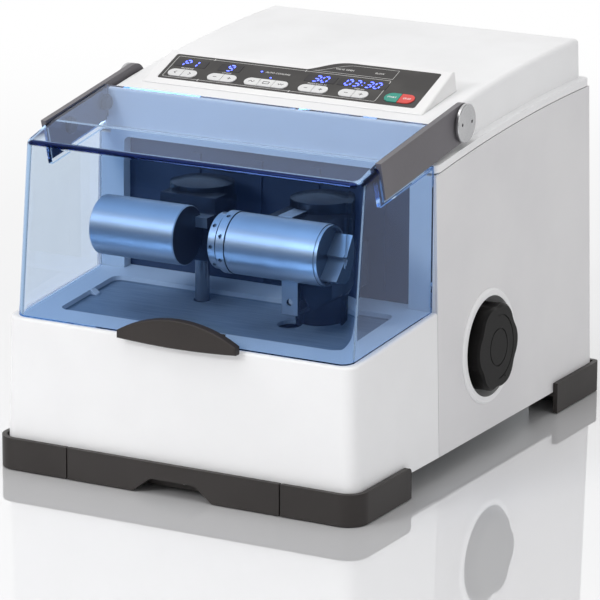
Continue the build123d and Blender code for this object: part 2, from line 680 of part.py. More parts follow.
def build_chamber_bulkhead():
    """Dark sheet across the back of the chamber with two pressed ribs."""
    half = WINDOW_HALF_WIDTH + BULKHEAD_LAP
    z0 = floor_height(PANEL_SEAM_Y) - SHELL_WALL - SURROUND_BAR
    top = FASCIA_BOTTOM - SEAT_GAP
    sheet = block(-half, half, BULKHEAD_Y, BULKHEAD_Y + BULKHEAD_WALL, z0, top)
    for x in (JAR_PIVOT_X, COUNTER_PIVOT_X):
        for side in (-1, 1):
            middle = x + side * (FOOT_RADIUS + BULKHEAD_RIB_WIDTH)
            rib = block(middle - BULKHEAD_RIB_WIDTH / 2, middle + BULKHEAD_RIB_WIDTH / 2,
                        BULKHEAD_Y - BULKHEAD_RIB_HEIGHT, BULKHEAD_Y,
                        floor_height(BULKHEAD_Y) + BULKHEAD_RIB_WIDTH,
                        top - SURROUND_BAR - BULKHEAD_RIB_WIDTH)
            sheet += rib
    return sheet


def panel_blank():
    """Outline of a side panel under the cover flange, as a full width solid."""
    gap = PANEL_TO_FLANGE_GAP
    blank = below_arc(flange_arc(gap), HOUSING_BOTTOM, BODY_WIDTH / 2)
    y0 = SURROUND_FRONT_Y
    z1 = FLANGE_REAR_HEIGHT
    keep = side_prism([(y0, 0), (rear_face(0), 0), (rear_face(z1), z1), (y0, z1)],
                      -BODY_WIDTH / 2, BODY_WIDTH / 2)
    return blank & keep


def build_side_panel():
    """Right side panel: drafted sheet with a folded rear edge and the bezel hole."""
    z1 = FLANGE_REAR_HEIGHT
    over = CUT_OVERRUN
    skin = drafted_slab(0, 0, z1, FRONT_Y, REAR_Y) - drafted_slab(PANEL_WALL, -over, z1 + over,
                                                                 FRONT_Y - over, REAR_Y + over)
    right = block(0, BODY_WIDTH, FRONT_Y, REAR_Y, 0, z1)
    return panel_blank() & skin & right


def knob_frame():
    """Frame on the right panel's outer face, its third axis square to the drafted face."""
    normal = (1, 0, SIDE_DRAFT_SHARE)
    origin = (half_width(KNOB_Z), KNOB_Y, KNOB_Z)
    return Plane(origin=origin, x_dir=(0, 1, 0), z_dir=normal)


def build_side_panel_right():
    """Right panel with the round hole for the knob's cup."""
    hole = knob_frame() * Cylinder(BEZEL_INNER_RADIUS + CUP_WALL + SEAT_GAP, BODY_WIDTH / 4)
    return build_side_panel() - hole


def build_rear_panel():
    """Rear sheet between the side panels, with grille slots and holes for the fittings."""
    z1 = FLANGE_REAR_HEIGHT - PANEL_TO_FLANGE_GAP - SEAT_GAP
    inset = PANEL_WALL + SEAT_GAP
    z0 = HOUSING_BOTTOM
    sheet = side_prism([(rear_face(z0) - PANEL_WALL, z0), (rear_face(z0), z0), (rear_face(z1), z1),
                        (rear_face(z1) - PANEL_WALL, z1)], -BODY_WIDTH / 2, BODY_WIDTH / 2)
    sheet &= drafted_slab(inset, z0, z1, 0, REAR_Y)
    depth = REAR_Y - PANEL_WALL * 2
    for i in range(GRILLE_SLOT_COUNT):
        z = FAN_Z + GRILLE_SLOT_PITCH * (i - (GRILLE_SLOT_COUNT - 1) / 2)
        reach = math.sqrt(FAN_BORE_RADIUS ** 2 - (z - FAN_Z) ** 2)
        slot = Rectangle(2 * reach, GRILLE_SLOT_WIDTH)
        cutter = Plane.XZ * Pos(FAN_X, z) * slot
        sheet -= extrude(cutter, amount=-REAR_Y)
    sheet -= block(INLET_X - INLET_WIDTH / 2, INLET_X + INLET_WIDTH / 2, depth / 2, REAR_Y,
                   INLET_Z - INLET_HEIGHT / 2, INLET_Z + INLET_HEIGHT / 2)
    half_w = SWITCH_WIDTH / 2 + SWITCH_FRAME
    sheet -= block(SWITCH_X - half_w, SWITCH_X + half_w, depth / 2, REAR_Y, INLET_Z - INLET_HEIGHT / 2,
                   INLET_Z + INLET_HEIGHT / 2)
    sheet -= bar_y(depth / 2, REAR_Y, NITROGEN_X, NITROGEN_Z, NITROGEN_STUB_RADIUS + SEAT_GAP)
    sheet -= bar_y(depth / 2, REAR_Y, EXHAUST_X, EXHAUST_Z, EXHAUST_RADIUS + SEAT_GAP)
    return sheet


def deck_arc(drop):
    """Crowned top line of the cover, lowered by drop, from front to rear."""
    y0 = COVER_FRONT_Y
    y1 = rear_face(FLANGE_REAR_HEIGHT) - COVER_REAR_INSET
    return ThreePointArc((y0, DECK_FRONT_HEIGHT - drop), ((y0 + y1) / 2, DECK_MID_HEIGHT - drop),
                         (y1, DECK_REAR_HEIGHT - drop))


def cover_body(inset, bottom):
    """The cover's main volume, set in by inset on its sides, top and ends."""
    body = below_arc(deck_arc(inset), bottom, BODY_WIDTH / 2)
    rise = DECK_REAR_HEIGHT - FASCIA_BOTTOM
    lean = COVER_SIDE_LEAN / rise
    z0 = bottom - CUT_OVERRUN
    z1 = DECK_REAR_HEIGHT + rise
    low = COVER_HALF_WIDTH_LOW + lean * (FASCIA_BOTTOM - bottom) - inset
    top = COVER_HALF_WIDTH_TOP - COVER_SIDE_LEAN - inset
    sides = front_prism([(-low, z0), (low, z0), (top, z1), (-top, z1)], COVER_FRONT_Y + inset,
                        rear_face(FLANGE_REAR_HEIGHT) - COVER_REAR_INSET - inset)
    return body & sides


def build_top_cover():
    """Moulded cover: flange on the panels, crowned deck, drafted sides and front fascia."""
    outer = cover_body(0, FASCIA_BOTTOM)
    deck = outer.faces().sort_by(Axis.Z)[-1]
    outer = fillet(deck.edges(), COVER_EDGE_RADIUS)
    rear = rear_face(FLANGE_REAR_HEIGHT)
    outer -= below_arc(flange_arc(0), 0, BODY_WIDTH / 2)
    inset = FLANGE_PROUD
    z1 = FLANGE_REAR_HEIGHT + FLANGE_THICKNESS
    band = below_arc(flange_arc(-FLANGE_THICKNESS), 0, BODY_WIDTH / 2)
    band -= below_arc(flange_arc(0), -CUT_OVERRUN, BODY_WIDTH / 2 + CUT_OVERRUN)
    plan = rounded_plan(-half_width(z1) - inset, half_width(z1) + inset, COVER_FRONT_Y, rear, 0, z1,
                        FLANGE_CORNER_RADIUS)
    cover = outer + (band & plan)
    cover -= cover_body(COVER_WALL, FLANGE_FRONT_HEIGHT - CUT_OVERRUN)
    half = COVER_HALF_WIDTH_TOP - COVER_WALL
    cover -= block(-half, half, PANEL_SEAM_Y - CUT_OVERRUN, BULKHEAD_Y + BULKHEAD_WALL + SEAT_GAP, 0,
                   FASCIA_BOTTOM)
    half = OVERLAY_HALF_WIDTH + CONSOLE_WALL
    cover -= block(-half, half, CONSOLE_FRONT_Y + DECK_OPENING_MARGIN, CONSOLE_FRONT_Y
                   + CONSOLE_DEPTH_LEFT - DECK_OPENING_MARGIN, CONSOLE_FRONT_HEIGHT - CONSOLE_DEPTH_LEFT,
                   DECK_REAR_HEIGHT + CUT_OVERRUN)
    for side in (-1, 1):
        inner_x = side * (COVER_HALF_WIDTH_LOW - COVER_WALL / 2)
        boss = bar_x(min(inner_x, inner_x - side * HINGE_BOSS_LENGTH),
                     max(inner_x, inner_x - side * HINGE_BOSS_LENGTH), PIVOT_Y, PIVOT_Z,
                     HINGE_BOSS_RADIUS)
        cover += boss
    cover -= bar_x(-BODY_WIDTH / 2, BODY_WIDTH / 2, PIVOT_Y, PIVOT_Z, PIVOT_PIN_RADIUS + RUNNING_GAP)
    return cover


def console_plane(lift):
    """Frame on the console's sloping face: x to the right, y up the slope."""
    angle = math.radians(CONSOLE_SLOPE_DEG)
    normal = Vector(0, -math.sin(angle), math.cos(angle))
    origin = Vector(0, CONSOLE_FRONT_Y, CONSOLE_FRONT_HEIGHT) + normal * lift
    return Plane(origin=origin, x_dir=(1, 0, 0), z_dir=normal)


def stepped_outline(half, front, left, right, growth):
    """Outline whose rear edge steps back from left to right in an S, grown by growth."""
    half += growth
    front -= growth
    left += growth
    right += growth
    x0 = CONSOLE_STEP_X - growth
    x1 = x0 + CONSOLE_STEP_SPAN
    left_line = Polyline((x0, left), (-half, left), (-half, front), (half, front), (half, right),
                         (x1, right))
    rise = Spline((x0, left), (x1, right), tangents=[(1, CONSOLE_STEP_RISE_SHARE), (1, 0)])
    return make_face([left_line, rise])


def console_body(inset, drop):
    """Wedge volume of the console, set in by inset and lowered by drop."""
    angle = math.radians(CONSOLE_SLOPE_DEG)
    run = CONSOLE_DEPTH_RIGHT
    z0 = DECK_FRONT_HEIGHT - FLANGE_THICKNESS
    top = CONSOLE_FRONT_HEIGHT + run * math.tan(angle) - drop
    wedge = side_prism([(CONSOLE_FRONT_Y, z0), (CONSOLE_FRONT_Y + run, z0),
                        (CONSOLE_FRONT_Y + run, top), (CONSOLE_FRONT_Y, CONSOLE_FRONT_HEIGHT - drop)],
                       -BODY_WIDTH / 2, BODY_WIDTH / 2)
    low = CONSOLE_HALF_WIDTH_BASE - inset
    high = CONSOLE_HALF_WIDTH_TOP - inset
    sides = front_prism([(-low, z0), (low, z0), (high, top), (-high, top)], CONSOLE_FRONT_Y, REAR_Y)
    plan = stepped_outline(BODY_WIDTH / 2, CONSOLE_FRONT_Y, CONSOLE_FRONT_Y + CONSOLE_DEPTH_LEFT,
                           CONSOLE_FRONT_Y + CONSOLE_DEPTH_RIGHT, -inset)
    upright = Pos(0, 0, z0) * extrude(plan, amount=top)
    return wedge & sides & upright


def overlay_outline(growth):
    """Outline of the dark overlay on the slope, grown by growth all round."""
    front = OVERLAY_FRONT_MARGIN
    face = stepped_outline(OVERLAY_HALF_WIDTH, front, front + OVERLAY_LENGTH_LEFT,
                           front + OVERLAY_LENGTH_RIGHT, growth)
    corners = [v for v in face.vertices() if abs(v.X) > OVERLAY_HALF_WIDTH - CUT_OVERRUN]
    return fillet(corners, OVERLAY_CORNER_RADIUS + growth)


def key_places():
    """Name, left edge, middle along the slope, length and rounded ends of every key."""
    places = []
    row = OVERLAY_FRONT_MARGIN + KEY_ROW_FROM_EDGE
    for share, names in KEY_GROUPS_SHARES:
        for i, name in enumerate(names):
            left = share * OVERLAY_HALF_WIDTH + i * KEY_WIDTH
            places.append((name, left, row, KEY_LENGTH, i == 0, i == len(names) - 1))
    row = OVERLAY_FRONT_MARGIN + MAIN_KEY_ROW_FROM_EDGE
    for i, name in enumerate(MAIN_KEY_NAMES):
        left = MAIN_KEYS_SHARE * OVERLAY_HALF_WIDTH + i * KEY_WIDTH
        places.append((name, left, row, MAIN_KEY_LENGTH, i == 0, i == 1))
    return places


def key_outline(left, row, length, round_left, round_right, gap):
    """Key shape on the slope: a bar whose outer ends are half round."""
    half = length / 2
    x0 = left + gap
    x1 = left + KEY_WIDTH - gap
    radius = half - gap
    start = x0 + radius * round_left
    end = x1 - radius * round_right
    shape = Pos((start + end) / 2, row) * Rectangle(end - start, 2 * radius)
    if round_left:
        shape += Pos(start, row) * Circle(radius)
    if round_right:
        shape += Pos(end, row) * Circle(radius)
    return shape


def build_key(place):
    """One key: flat cap with a retaining flange along its long sides."""
    name, left, row, length, round_left, round_right = place
    shape = key_outline(left, row, length, round_left, round_right, KEY_SIDE_GAP)
    wall = CONSOLE_WALL
    cap = extrude(console_plane(KEY_PROUD) * shape, amount=-(wall + KEY_PROUD + SEAT_GAP))
    width = KEY_WIDTH - length / 2
    x = left + KEY_WIDTH / 2 + (round_left - round_right) * length / 4
    flange = Pos(x, row) * Rectangle(width - 2 * KEY_SIDE_GAP, length + 2 * KEY_FLANGE)
    lift = -wall - SEAT_GAP
    cap += extrude(console_plane(lift) * flange, amount=-KEY_FLANGE_THICKNESS)
    return cap


def key_cuts():
    """Openings in the overlay, each the outline of its key."""
    cuts = []
    for name, left, row, length, round_left, round_right in key_places():
        shape = key_outline(left, row, length, round_left, round_right, 0)
        cuts.append(extrude(console_plane(CUT_OVERRUN) * shape, amount=-2 * CUT_OVERRUN))
    return cuts


def wall_cuts():
    """Plain oblong openings in the sloping wall below the overlay's shaped ones."""
    cuts = []
    for name, left, row, length, round_left, round_right in key_places():
        shape = Pos(left + KEY_WIDTH / 2, row) * Rectangle(KEY_WIDTH, length)
        cuts.append(extrude(console_plane(CUT_OVERRUN) * shape, amount=-(CONSOLE_WALL + 2 * CUT_OVERRUN)))
    return cuts


def display_shapes(growth):
    """Window shapes of the four displays and the two lamps on the slope."""
    shapes = []
    row = OVERLAY_FRONT_MARGIN + DISPLAY_ROW_FROM_EDGE
    for start, end in DISPLAY_SPANS_SHARES:
        x0 = start * OVERLAY_HALF_WIDTH
        x1 = end * OVERLAY_HALF_WIDTH
        size = Rectangle(x1 - x0 + 2 * growth, DISPLAY_LENGTH + 2 * growth)
        shapes.append(Pos((x0 + x1) / 2, row) * size)
    for x_share, u_share in LAMP_PLACES_SHARES:
        place = Pos(x_share * OVERLAY_HALF_WIDTH, OVERLAY_FRONT_MARGIN + u_share * OVERLAY_LENGTH_LEFT)
        shapes.append(place * Circle(LAMP_RADIUS + growth))
    return shapes


def build_control_console():
    """White wedge on the deck with the overlay's recess and the key openings."""
    outer = console_body(0, 0)
    top_face = outer.faces().sort_by(Axis((0, 0, 0), tuple(console_plane(0).z_dir)))[-1]
    outer = fillet(top_face.edges(), CONSOLE_EDGE_RADIUS)
    inner = console_body(CONSOLE_WALL, CONSOLE_WALL)
    body = outer - inner
    deck = below_arc(deck_arc(-SEAT_GAP), 0, BODY_WIDTH / 2)
    body -= deck
    recess = extrude(console_plane(CUT_OVERRUN) * overlay_outline(OVERLAY_RECESS_GAP),
                     amount=-(CUT_OVERRUN + OVERLAY_THICKNESS))
    body -= recess
    for tool in wall_cuts():
        body -= tool
    for shape in display_shapes(0):
        body -= extrude(console_plane(CUT_OVERRUN) * shape, amount=-(CONSOLE_WALL + 2 * CUT_OVERRUN))
    return body


def build_control_overlay():
    """Thin dark overlay in the console's recess, cut out for keys, displays and lamps."""
    sheet = extrude(console_plane(0) * overlay_outline(0), amount=-OVERLAY_THICKNESS)
    for tool in key_cuts():
        sheet -= tool
    for shape in display_shapes(0):
        sheet -= extrude(console_plane(CUT_OVERRUN) * shape, amount=-2 * CUT_OVERRUN)
    return sheet


def build_display_windows():
    """Display and lamp lenses that reach down to the control board."""
    lenses = []
    depth = BOARD_DEPTH_BELOW + DISPLAY_PROUD - SEAT_GAP
    for shape in display_shapes(-SEAT_GAP):
        lens = extrude(console_plane(DISPLAY_PROUD) * shape, amount=-depth)
        lenses.append(lens)
    return Compound(children=lenses)


def build_control_board():
    """Circuit board under the slope with one square switch below each key."""
    half = OVERLAY_HALF_WIDTH
    front = OVERLAY_FRONT_MARGIN
    board_top = -BOARD_DEPTH_BELOW
    length = OVERLAY_LENGTH_LEFT
    outline = Pos(0, front + length / 2) * Rectangle(2 * half, length - 2 * BOARD_MARGIN)
    board = extrude(console_plane(board_top) * outline, amount=-BOARD_THICKNESS)
    key_bottom = -CONSOLE_WALL - SEAT_GAP - KEY_FLANGE_THICKNESS
    height = key_bottom - KEY_TRAVEL - RUNNING_GAP - board_top
    for name, left, row, length, round_left, round_right in key_places():
        switch = Pos(left + KEY_WIDTH / 2, row) * Rectangle(KEY_SWITCH_WIDTH, KEY_SWITCH_WIDTH)
        board += extrude(console_plane(board_top) * switch, amount=height)
    foot = BOARD_THICKNESS * 2
    for x in (-half + foot, half - foot):
        for u in (front + BOARD_MARGIN + foot, front + length - BOARD_MARGIN - foot):
            stud = Pos(x, u) * Circle(foot)
            rise = BOARD_DEPTH_BELOW - CONSOLE_WALL - SEAT_GAP
            board += extrude(console_plane(board_top) * stud, amount=rise)
    return board


def hood_profile(inset):
    """Outline of the hood in depth and height, set in by inset."""
    lean = math.atan2(HOOD_FRONT_SETBACK, HOOD_FRONT_TOP_HEIGHT - FLOOR_FRONT_HEIGHT)
    front_y = SHELL_FRONT_Y + HOOD_FRONT_INSET
    rear_y = COVER_FRONT_Y - HOOD_TOP_REAR_GAP
    points = [
        (front_y, FLOOR_FRONT_HEIGHT),
        (front_y + HOOD_FRONT_SETBACK, HOOD_FRONT_TOP_HEIGHT),
        (rear_y - HOOD_BEND_FROM_REAR, HOOD_BEND_HEIGHT),
        (rear_y, HOOD_REAR_HEIGHT),
    ]
    front_shift = inset / math.cos(lean)
    slope = (HOOD_BEND_HEIGHT - HOOD_FRONT_TOP_HEIGHT) / (points[2][0] - points[1][0])
    drop = inset * math.sqrt(1 + slope ** 2)
    top = (points[1][0] + front_shift, points[1][1] - drop + slope * front_shift)
    run = inset / math.cos(lean) * HOOD_FRONT_SETBACK / (HOOD_FRONT_TOP_HEIGHT - FLOOR_FRONT_HEIGHT)
    return [
        (points[0][0] + front_shift - run, points[0][1] - inset),
        top,
        (points[2][0], points[2][1] - drop),
        (points[3][0], points[3][1] - drop),
        (points[3][0], points[0][1] - inset),
    ]


def hood_volume(inset, corner_radius, bend_radius):
    """The hood's outside or inside volume."""
    profile = hood_profile(inset)
    y_front = profile[0][0]
    y_rear = profile[3][0]
    front = HOOD_HALF_WIDTH_FRONT - inset
    rear = HOOD_HALF_WIDTH_REAR - inset
    prism = side_prism(profile, -BODY_WIDTH / 2, BODY_WIDTH / 2)
    plan = make_face(Polyline((-front, y_front), (front, y_front), (rear, y_rear), (-rear, y_rear),
                              close=True))
    sides = extrude(plan, amount=HOOD_REAR_HEIGHT + CUT_OVERRUN)
    body = prism & sides
    upright = [e for e in body.edges() if e.center().Y < profile[1][0]
               and abs(e.center().X) > front - HOOD_WALL and e.length > HOOD_CORNER_RADIUS * 4]
    body = fillet(upright, corner_radius)
    top_z = FLOOR_FRONT_HEIGHT + HOOD_CORNER_RADIUS * 2
    upper = [e for e in body.edges() if e.center().Z > top_z and e.center().Y < y_rear - CUT_OVERRUN
             and not (e.center().Y > profile[2][0] - CUT_OVERRUN and abs(e.center().X) < CUT_OVERRUN)]
    crown = [e for e in upper if (e @ 0).Z > HOOD_FRONT_TOP_HEIGHT - HOOD_WALL * 3
             and (e @ 1).Z > HOOD_FRONT_TOP_HEIGHT - HOOD_WALL * 3]
    return fillet(crown, bend_radius)


def arm_line():
    """Unit steps along the arm, forwards and down, and square to it."""
    angle = math.radians(ARM_SLOPE_DEG)
    return (-math.cos(angle), -math.sin(angle)), (math.sin(angle), -math.cos(angle))


def arm_point(along, across):
    """Depth and height of a point given along and across the arm from the pivot."""
    step, side = arm_line()
    return (PIVOT_Y + step[0] * along + side[0] * across, PIVOT_Z + step[1] * along + side[1] * across)


def pocket_outline(growth):
    """Outline of the hood pocket that takes the arm, open above and behind."""
    half = ARM_HEIGHT / 2 + growth
    lean = math.tan(math.radians(ARM_END_LEAN_DEG)) * half
    rear = PIVOT_Y - (COVER_FRONT_Y - ARM_HEIGHT)
    return [arm_point(ARM_REACH + growth - lean, half), arm_point(rear - ARM_HEIGHT * 2, half),
            arm_point(rear - ARM_HEIGHT * 2, -half * 2), arm_point(ARM_REACH + growth + lean * 2, -half * 2)]


def build_hood_window():
    """Clear moulded hood with a pocket on each side for the arm."""
    outer = hood_volume(0, HOOD_CORNER_RADIUS, HOOD_BEND_RADIUS)
    inner = hood_volume(HOOD_WALL, HOOD_CORNER_RADIUS - HOOD_WALL, HOOD_BEND_RADIUS - HOOD_WALL)
    rear_y = hood_profile(0)[3][0]
    inner += inner_tail(rear_y)
    hood = outer - inner
    for side in (-1, 1):
        near = side * POCKET_WALL_X
        wall = side * (POCKET_WALL_X - HOOD_WALL)
        far = side * BODY_WIDTH / 2
        block_out = side_prism(pocket_outline(POCKET_MARGIN + HOOD_WALL), min(wall, far), max(wall, far))
        hood += block_out & outer
        hood -= side_prism(pocket_outline(POCKET_MARGIN), min(near, far), max(near, far))
        for along in (ARM_SCREW_FIRST, ARM_SCREW_FIRST + ARM_SCREW_PITCH):
            y, z = arm_point(along, 0)
            hood -= bar_x(min(wall - side * CUT_OVERRUN, near + side * CUT_OVERRUN),
                          max(wall - side * CUT_OVERRUN, near + side * CUT_OVERRUN), y, z,
                          ARM_SCREW_RADIUS + SEAT_GAP)
    base = side_prism([(FRONT_Y, 0), (0, 0), (0, floor_height(0) + HOOD_SEAT_GAP),
                       (FRONT_Y, floor_height(FRONT_Y) + HOOD_SEAT_GAP)], -BODY_WIDTH, BODY_WIDTH)
    hood -= base
    rear_cut = block(-BODY_WIDTH / 2, BODY_WIDTH / 2, PANEL_SEAM_Y - HOOD_SIDE_REAR_GAP, 0, 0,
                     HOOD_BEND_HEIGHT - ARM_HEIGHT / 2)
    return hood - rear_cut


def inner_tail(rear_y):
    """Opens the hood's inside right through its rear face."""
    profile = hood_profile(HOOD_WALL)
    half = HOOD_HALF_WIDTH_REAR - HOOD_WALL
    slope = (HOOD_REAR_HEIGHT - HOOD_BEND_HEIGHT) / HOOD_BEND_FROM_REAR
    y0 = rear_y - CUT_OVERRUN
    y1 = rear_y + CUT_OVERRUN
    z1 = profile[3][1]
    return side_prism([(y0, 0), (y1, 0), (y1, z1 + slope * CUT_OVERRUN), (y0, z1 - slope * CUT_OVERRUN)],
                      -half, half)


def build_hood_arm():
    """Right arm: flat bar, round at the pivot, with a leaning front end."""
    half = ARM_HEIGHT / 2
    lean = math.tan(math.radians(ARM_END_LEAN_DEG)) * half
    bar = side_prism([arm_point(0, -half), arm_point(ARM_REACH + lean, -half),
                      arm_point(ARM_REACH - lean, half), arm_point(0, half)], POCKET_WALL_X, ARM_OUTER_X)
    bar += bar_x(POCKET_WALL_X, ARM_OUTER_X, PIVOT_Y, PIVOT_Z, half)
    over = CUT_OVERRUN
    bar -= bar_x(POCKET_WALL_X - over, ARM_OUTER_X + over, PIVOT_Y, PIVOT_Z, PIVOT_PIN_RADIUS + RUNNING_GAP)
    for along in (ARM_SCREW_FIRST, ARM_SCREW_FIRST + ARM_SCREW_PITCH):
        y, z = arm_point(along, 0)
        bar -= bar_x(POCKET_WALL_X - over, POCKET_WALL_X + ARM_SCREW_DEPTH + SEAT_GAP, y, z,
                     ARM_SCREW_RADIUS + RUNNING_GAP)
    return bar


def build_hood_screws():
    """Four dark capped screws that hold the hood to its arms from inside."""
    screws = []
    wall = POCKET_WALL_X - HOOD_WALL
    for along in (ARM_SCREW_FIRST, ARM_SCREW_FIRST + ARM_SCREW_PITCH):
        y, z = arm_point(along, 0)
        cap = bar_x(wall - ARM_SCREW_CAP_HEIGHT, wall, y, z, ARM_SCREW_CAP_RADIUS)
        cap = chamfer(cap.edges().filter_by(GeomType.CIRCLE).sort_by(Axis.X)[:1], ARM_SCREW_CAP_HEIGHT / 3)
        screw = cap + bar_x(wall - ARM_SCREW_CAP_HEIGHT / 2, POCKET_WALL_X + ARM_SCREW_DEPTH, y, z,
                            ARM_SCREW_RADIUS)
        screws.append(screw)
        screws.append(mirrored(screw))
    return Compound(children=screws)


def build_pivot_pin():
    """Right hinge pin: shank in the cover's boss, narrow neck and turned disc with spanner holes."""
    x0 = COVER_HALF_WIDTH_LOW - HINGE_BOSS_LENGTH
    neck = ARM_OUTER_X + RUNNING_GAP * 2
    disc = neck + PIVOT_NECK_LENGTH
    end = disc + PIVOT_DISC_THICKNESS
    head = bar_x(disc, end, PIVOT_Y, PIVOT_Z, PIVOT_DISC_RADIUS)
    head = chamfer(head.edges().filter_by(GeomType.CIRCLE), PIVOT_DISC_CHAMFER)
    pin = head + bar_x(neck, disc, PIVOT_Y, PIVOT_Z, PIVOT_NECK_RADIUS)
    pin += bar_x(x0, neck, PIVOT_Y, PIVOT_Z, PIVOT_PIN_RADIUS)
    for side in (-1, 1):
        pin -= bar_x(end - SPANNER_HOLE_DEPTH, end + CUT_OVERRUN, PIVOT_Y + side * SPANNER_HOLE_OFFSET,
                     PIVOT_Z, SPANNER_HOLE_RADIUS)
    return pin


def build_hood_handle():
    """Lens shaped grip on the hood's front edge, with a pad that meets the clear wall."""
    half = HANDLE_WIDTH / 2
    z0 = HANDLE_BOTTOM
    z1 = z0 + HANDLE_END_HEIGHT
    top = ThreePointArc((-half, z1), (0, z0 + HANDLE_MID_HEIGHT), (half, z1))
    bottom = ThreePointArc((-half, z0), (0, z0 - HANDLE_SAG), (half, z0))
    face = make_face([top, bottom, Line((-half, z0), (-half, z1)), Line((half, z0), (half, z1))])
    y1 = SHELL_FRONT_Y - HANDLE_STANDOFF
    grip = Pos(0, y1, 0) * extrude(Plane.XZ * face, amount=HANDLE_THICKNESS)
    grip = fillet(grip.edges().sort_by(Axis.Y)[:4], HANDLE_EDGE_RADIUS)
    pad_z = z0 + HANDLE_PAD_LIFT
    pad = block(-HANDLE_PAD_WIDTH / 2, HANDLE_PAD_WIDTH / 2, y1 - CUT_OVERRUN, FLOOR_FRONT_Y + HOOD_WALL,
                pad_z, pad_z + HANDLE_PAD_HEIGHT)
    profile = hood_profile(0)
    behind = side_prism([profile[0], profile[1], (0, profile[1][1]), (0, profile[0][1])],
                        -BODY_WIDTH / 2, BODY_WIDTH / 2)
    return Pos(HANDLE_OFFSET, 0, 0) * (grip + (pad - behind))


def head_profile(z_bottom):
    """Turned head with a stepped neck and a shallow dome."""
    step = COLUMN_STEP
    shoulder = COLUMN_TOP - COLUMN_STEP_DROP
    rim = COLUMN_TOP - COLUMN_DOME_RISE
    body = Polyline((0, COLUMN_TOP), (0, z_bottom), (HEAD_RADIUS, z_bottom), (HEAD_RADIUS, shoulder),
                    (HEAD_RADIUS - step, shoulder + step), (HEAD_RADIUS - step, rim))
    reach = HEAD_RADIUS - step
    ball = (reach ** 2 + COLUMN_DOME_RISE ** 2) / (2 * COLUMN_DOME_RISE)
    middle = COLUMN_TOP - ball + math.sqrt(ball ** 2 - reach ** 2 / 4)
    dome = ThreePointArc((reach, rim), (reach / 2, middle), (0, COLUMN_TOP))
    return revolve(Plane.XZ * make_face([body, dome]), axis=Axis.Z)


def shaft_bore(x, low):
    """Room for a rocker shaft's upper end, from low up into the head."""
    return post(x, ROCKER_PIVOT_Y, low, COLUMN_TOP - COLUMN_STEP_DROP, shaft_neck(x) + RUNNING_GAP)


def shaft_neck(x):
    """Radius of the upper end of the rocker shaft at x."""
    return ROCKER_SHAFT_RADIUS if x > YOKE_X else COUNTER_NECK_RADIUS


def build_jar_column():
    """Jar side column: head, foot through the floor, carrier block and pointed saddle."""
    x = JAR_PIVOT_X
    half = CARRIER_BLOCK_WIDTH / 2
    front = JAR_AXIS_Y + CARRIER_BLOCK_FRONT
    back = ROCKER_PIVOT_Y
    carrier = block(x - half, x + half, front, back, CARRIER_BLOCK_BOTTOM, CARRIER_BLOCK_TOP)
    left = x + BRACKET_RIGHT
    right = left + SADDLE_WIDTH
    top = JAR_AXIS_Z
    shoulder = CARRIER_BLOCK_BOTTOM - SADDLE_SHOULDER
    point = CARRIER_BLOCK_BOTTOM - SADDLE_POINT
    saddle = front_prism([(left, top), (left, shoulder), (left + SADDLE_WIDTH / 3, point), (right, shoulder),
                          (right, top)], front - SADDLE_PROUD, back)
    low = FRAME_TOP_PLATE + FRAME_PLATE + COLUMN_FLOOR_GAP
    solid = Pos(x, ROCKER_PIVOT_Y, 0) * head_profile(HEAD_BOTTOM)
    solid += post(x, ROCKER_PIVOT_Y, low, HEAD_BOTTOM + CUT_OVERRUN, FOOT_RADIUS)
    solid += (carrier + saddle) - sleeve_clear()
    return solid - shaft_bore(x, low - CUT_OVERRUN)


def build_jar_cradle():
    """Bright fork over the sleeve and the drilled bracket under it."""
    x1 = JAR_PIVOT_X + BRACKET_RIGHT - SEAT_GAP
    x0 = x1 - BRACKET_WIDTH
    y0 = JAR_AXIS_Y - BRACKET_THICKNESS
    z1 = JAR_AXIS_Z - SLEEVE_RADIUS + BRACKET_THICKNESS
    z0 = z1 - BRACKET_DROP
    plate = block(x0, x1, y0, JAR_AXIS_Y, z0, z1)
    back = ROCKER_PIVOT_Y - FOOT_RADIUS / 2
    leg = block(x0, x1, JAR_AXIS_Y - CUT_OVERRUN, back, z0, z0 + BRACKET_THICKNESS)
    plate += leg - foot_clear()
    hole_z = z0 + BRACKET_DROP / 3
    plate -= bar_y(y0 - CUT_OVERRUN, JAR_AXIS_Y + CUT_OVERRUN, (x0 + x1) / 2, hole_z, BRACKET_HOLE_RADIUS)
    top = CARRIER_BLOCK_TOP + RUNNING_GAP
    fork_y = ROCKER_PIVOT_Y - HEAD_RADIUS / 2
    fork_x = JAR_PIVOT_X + FORK_RIGHT
    fork = block(fork_x - FORK_WIDTH, fork_x, fork_y - FORK_REACH, fork_y, top, top + FORK_THICKNESS)
    fork -= post(JAR_PIVOT_X, ROCKER_PIVOT_Y, top - CUT_OVERRUN, COLUMN_TOP, HEAD_RADIUS + SEAT_GAP)
    return Compound(children=[plate - sleeve_clear(), fork - sleeve_clear()])


def sleeve_clear():
    """Room round the sleeve for the pieces that hold it."""
    return bar_x(SLEEVE_LEFT_X - COLLAR_LENGTH, SLEEVE_RIGHT_X + END_KEY_PROUD, JAR_AXIS_Y, JAR_AXIS_Z,
                 SLEEVE_RADIUS + SEAT_GAP)


def foot_clear():
    """Room round the jar column's foot."""
    return post(JAR_PIVOT_X, ROCKER_PIVOT_Y, 0, HEAD_BOTTOM, FOOT_RADIUS + SEAT_GAP)


def ring_holes(x, radius, depth, turn):
    """Spanner holes round a ring on the jar axis, the first one turned by turn degrees."""
    holes = []
    for i in range(RING_HOLE_COUNT):
        drill = Pos(0, 0, radius) * Cylinder(RING_HOLE_RADIUS, 2 * depth)
        holes.append(Pos(x, JAR_AXIS_Y, JAR_AXIS_Z) * Rot(360 * i / RING_HOLE_COUNT + turn, 0, 0) * drill)
    return holes


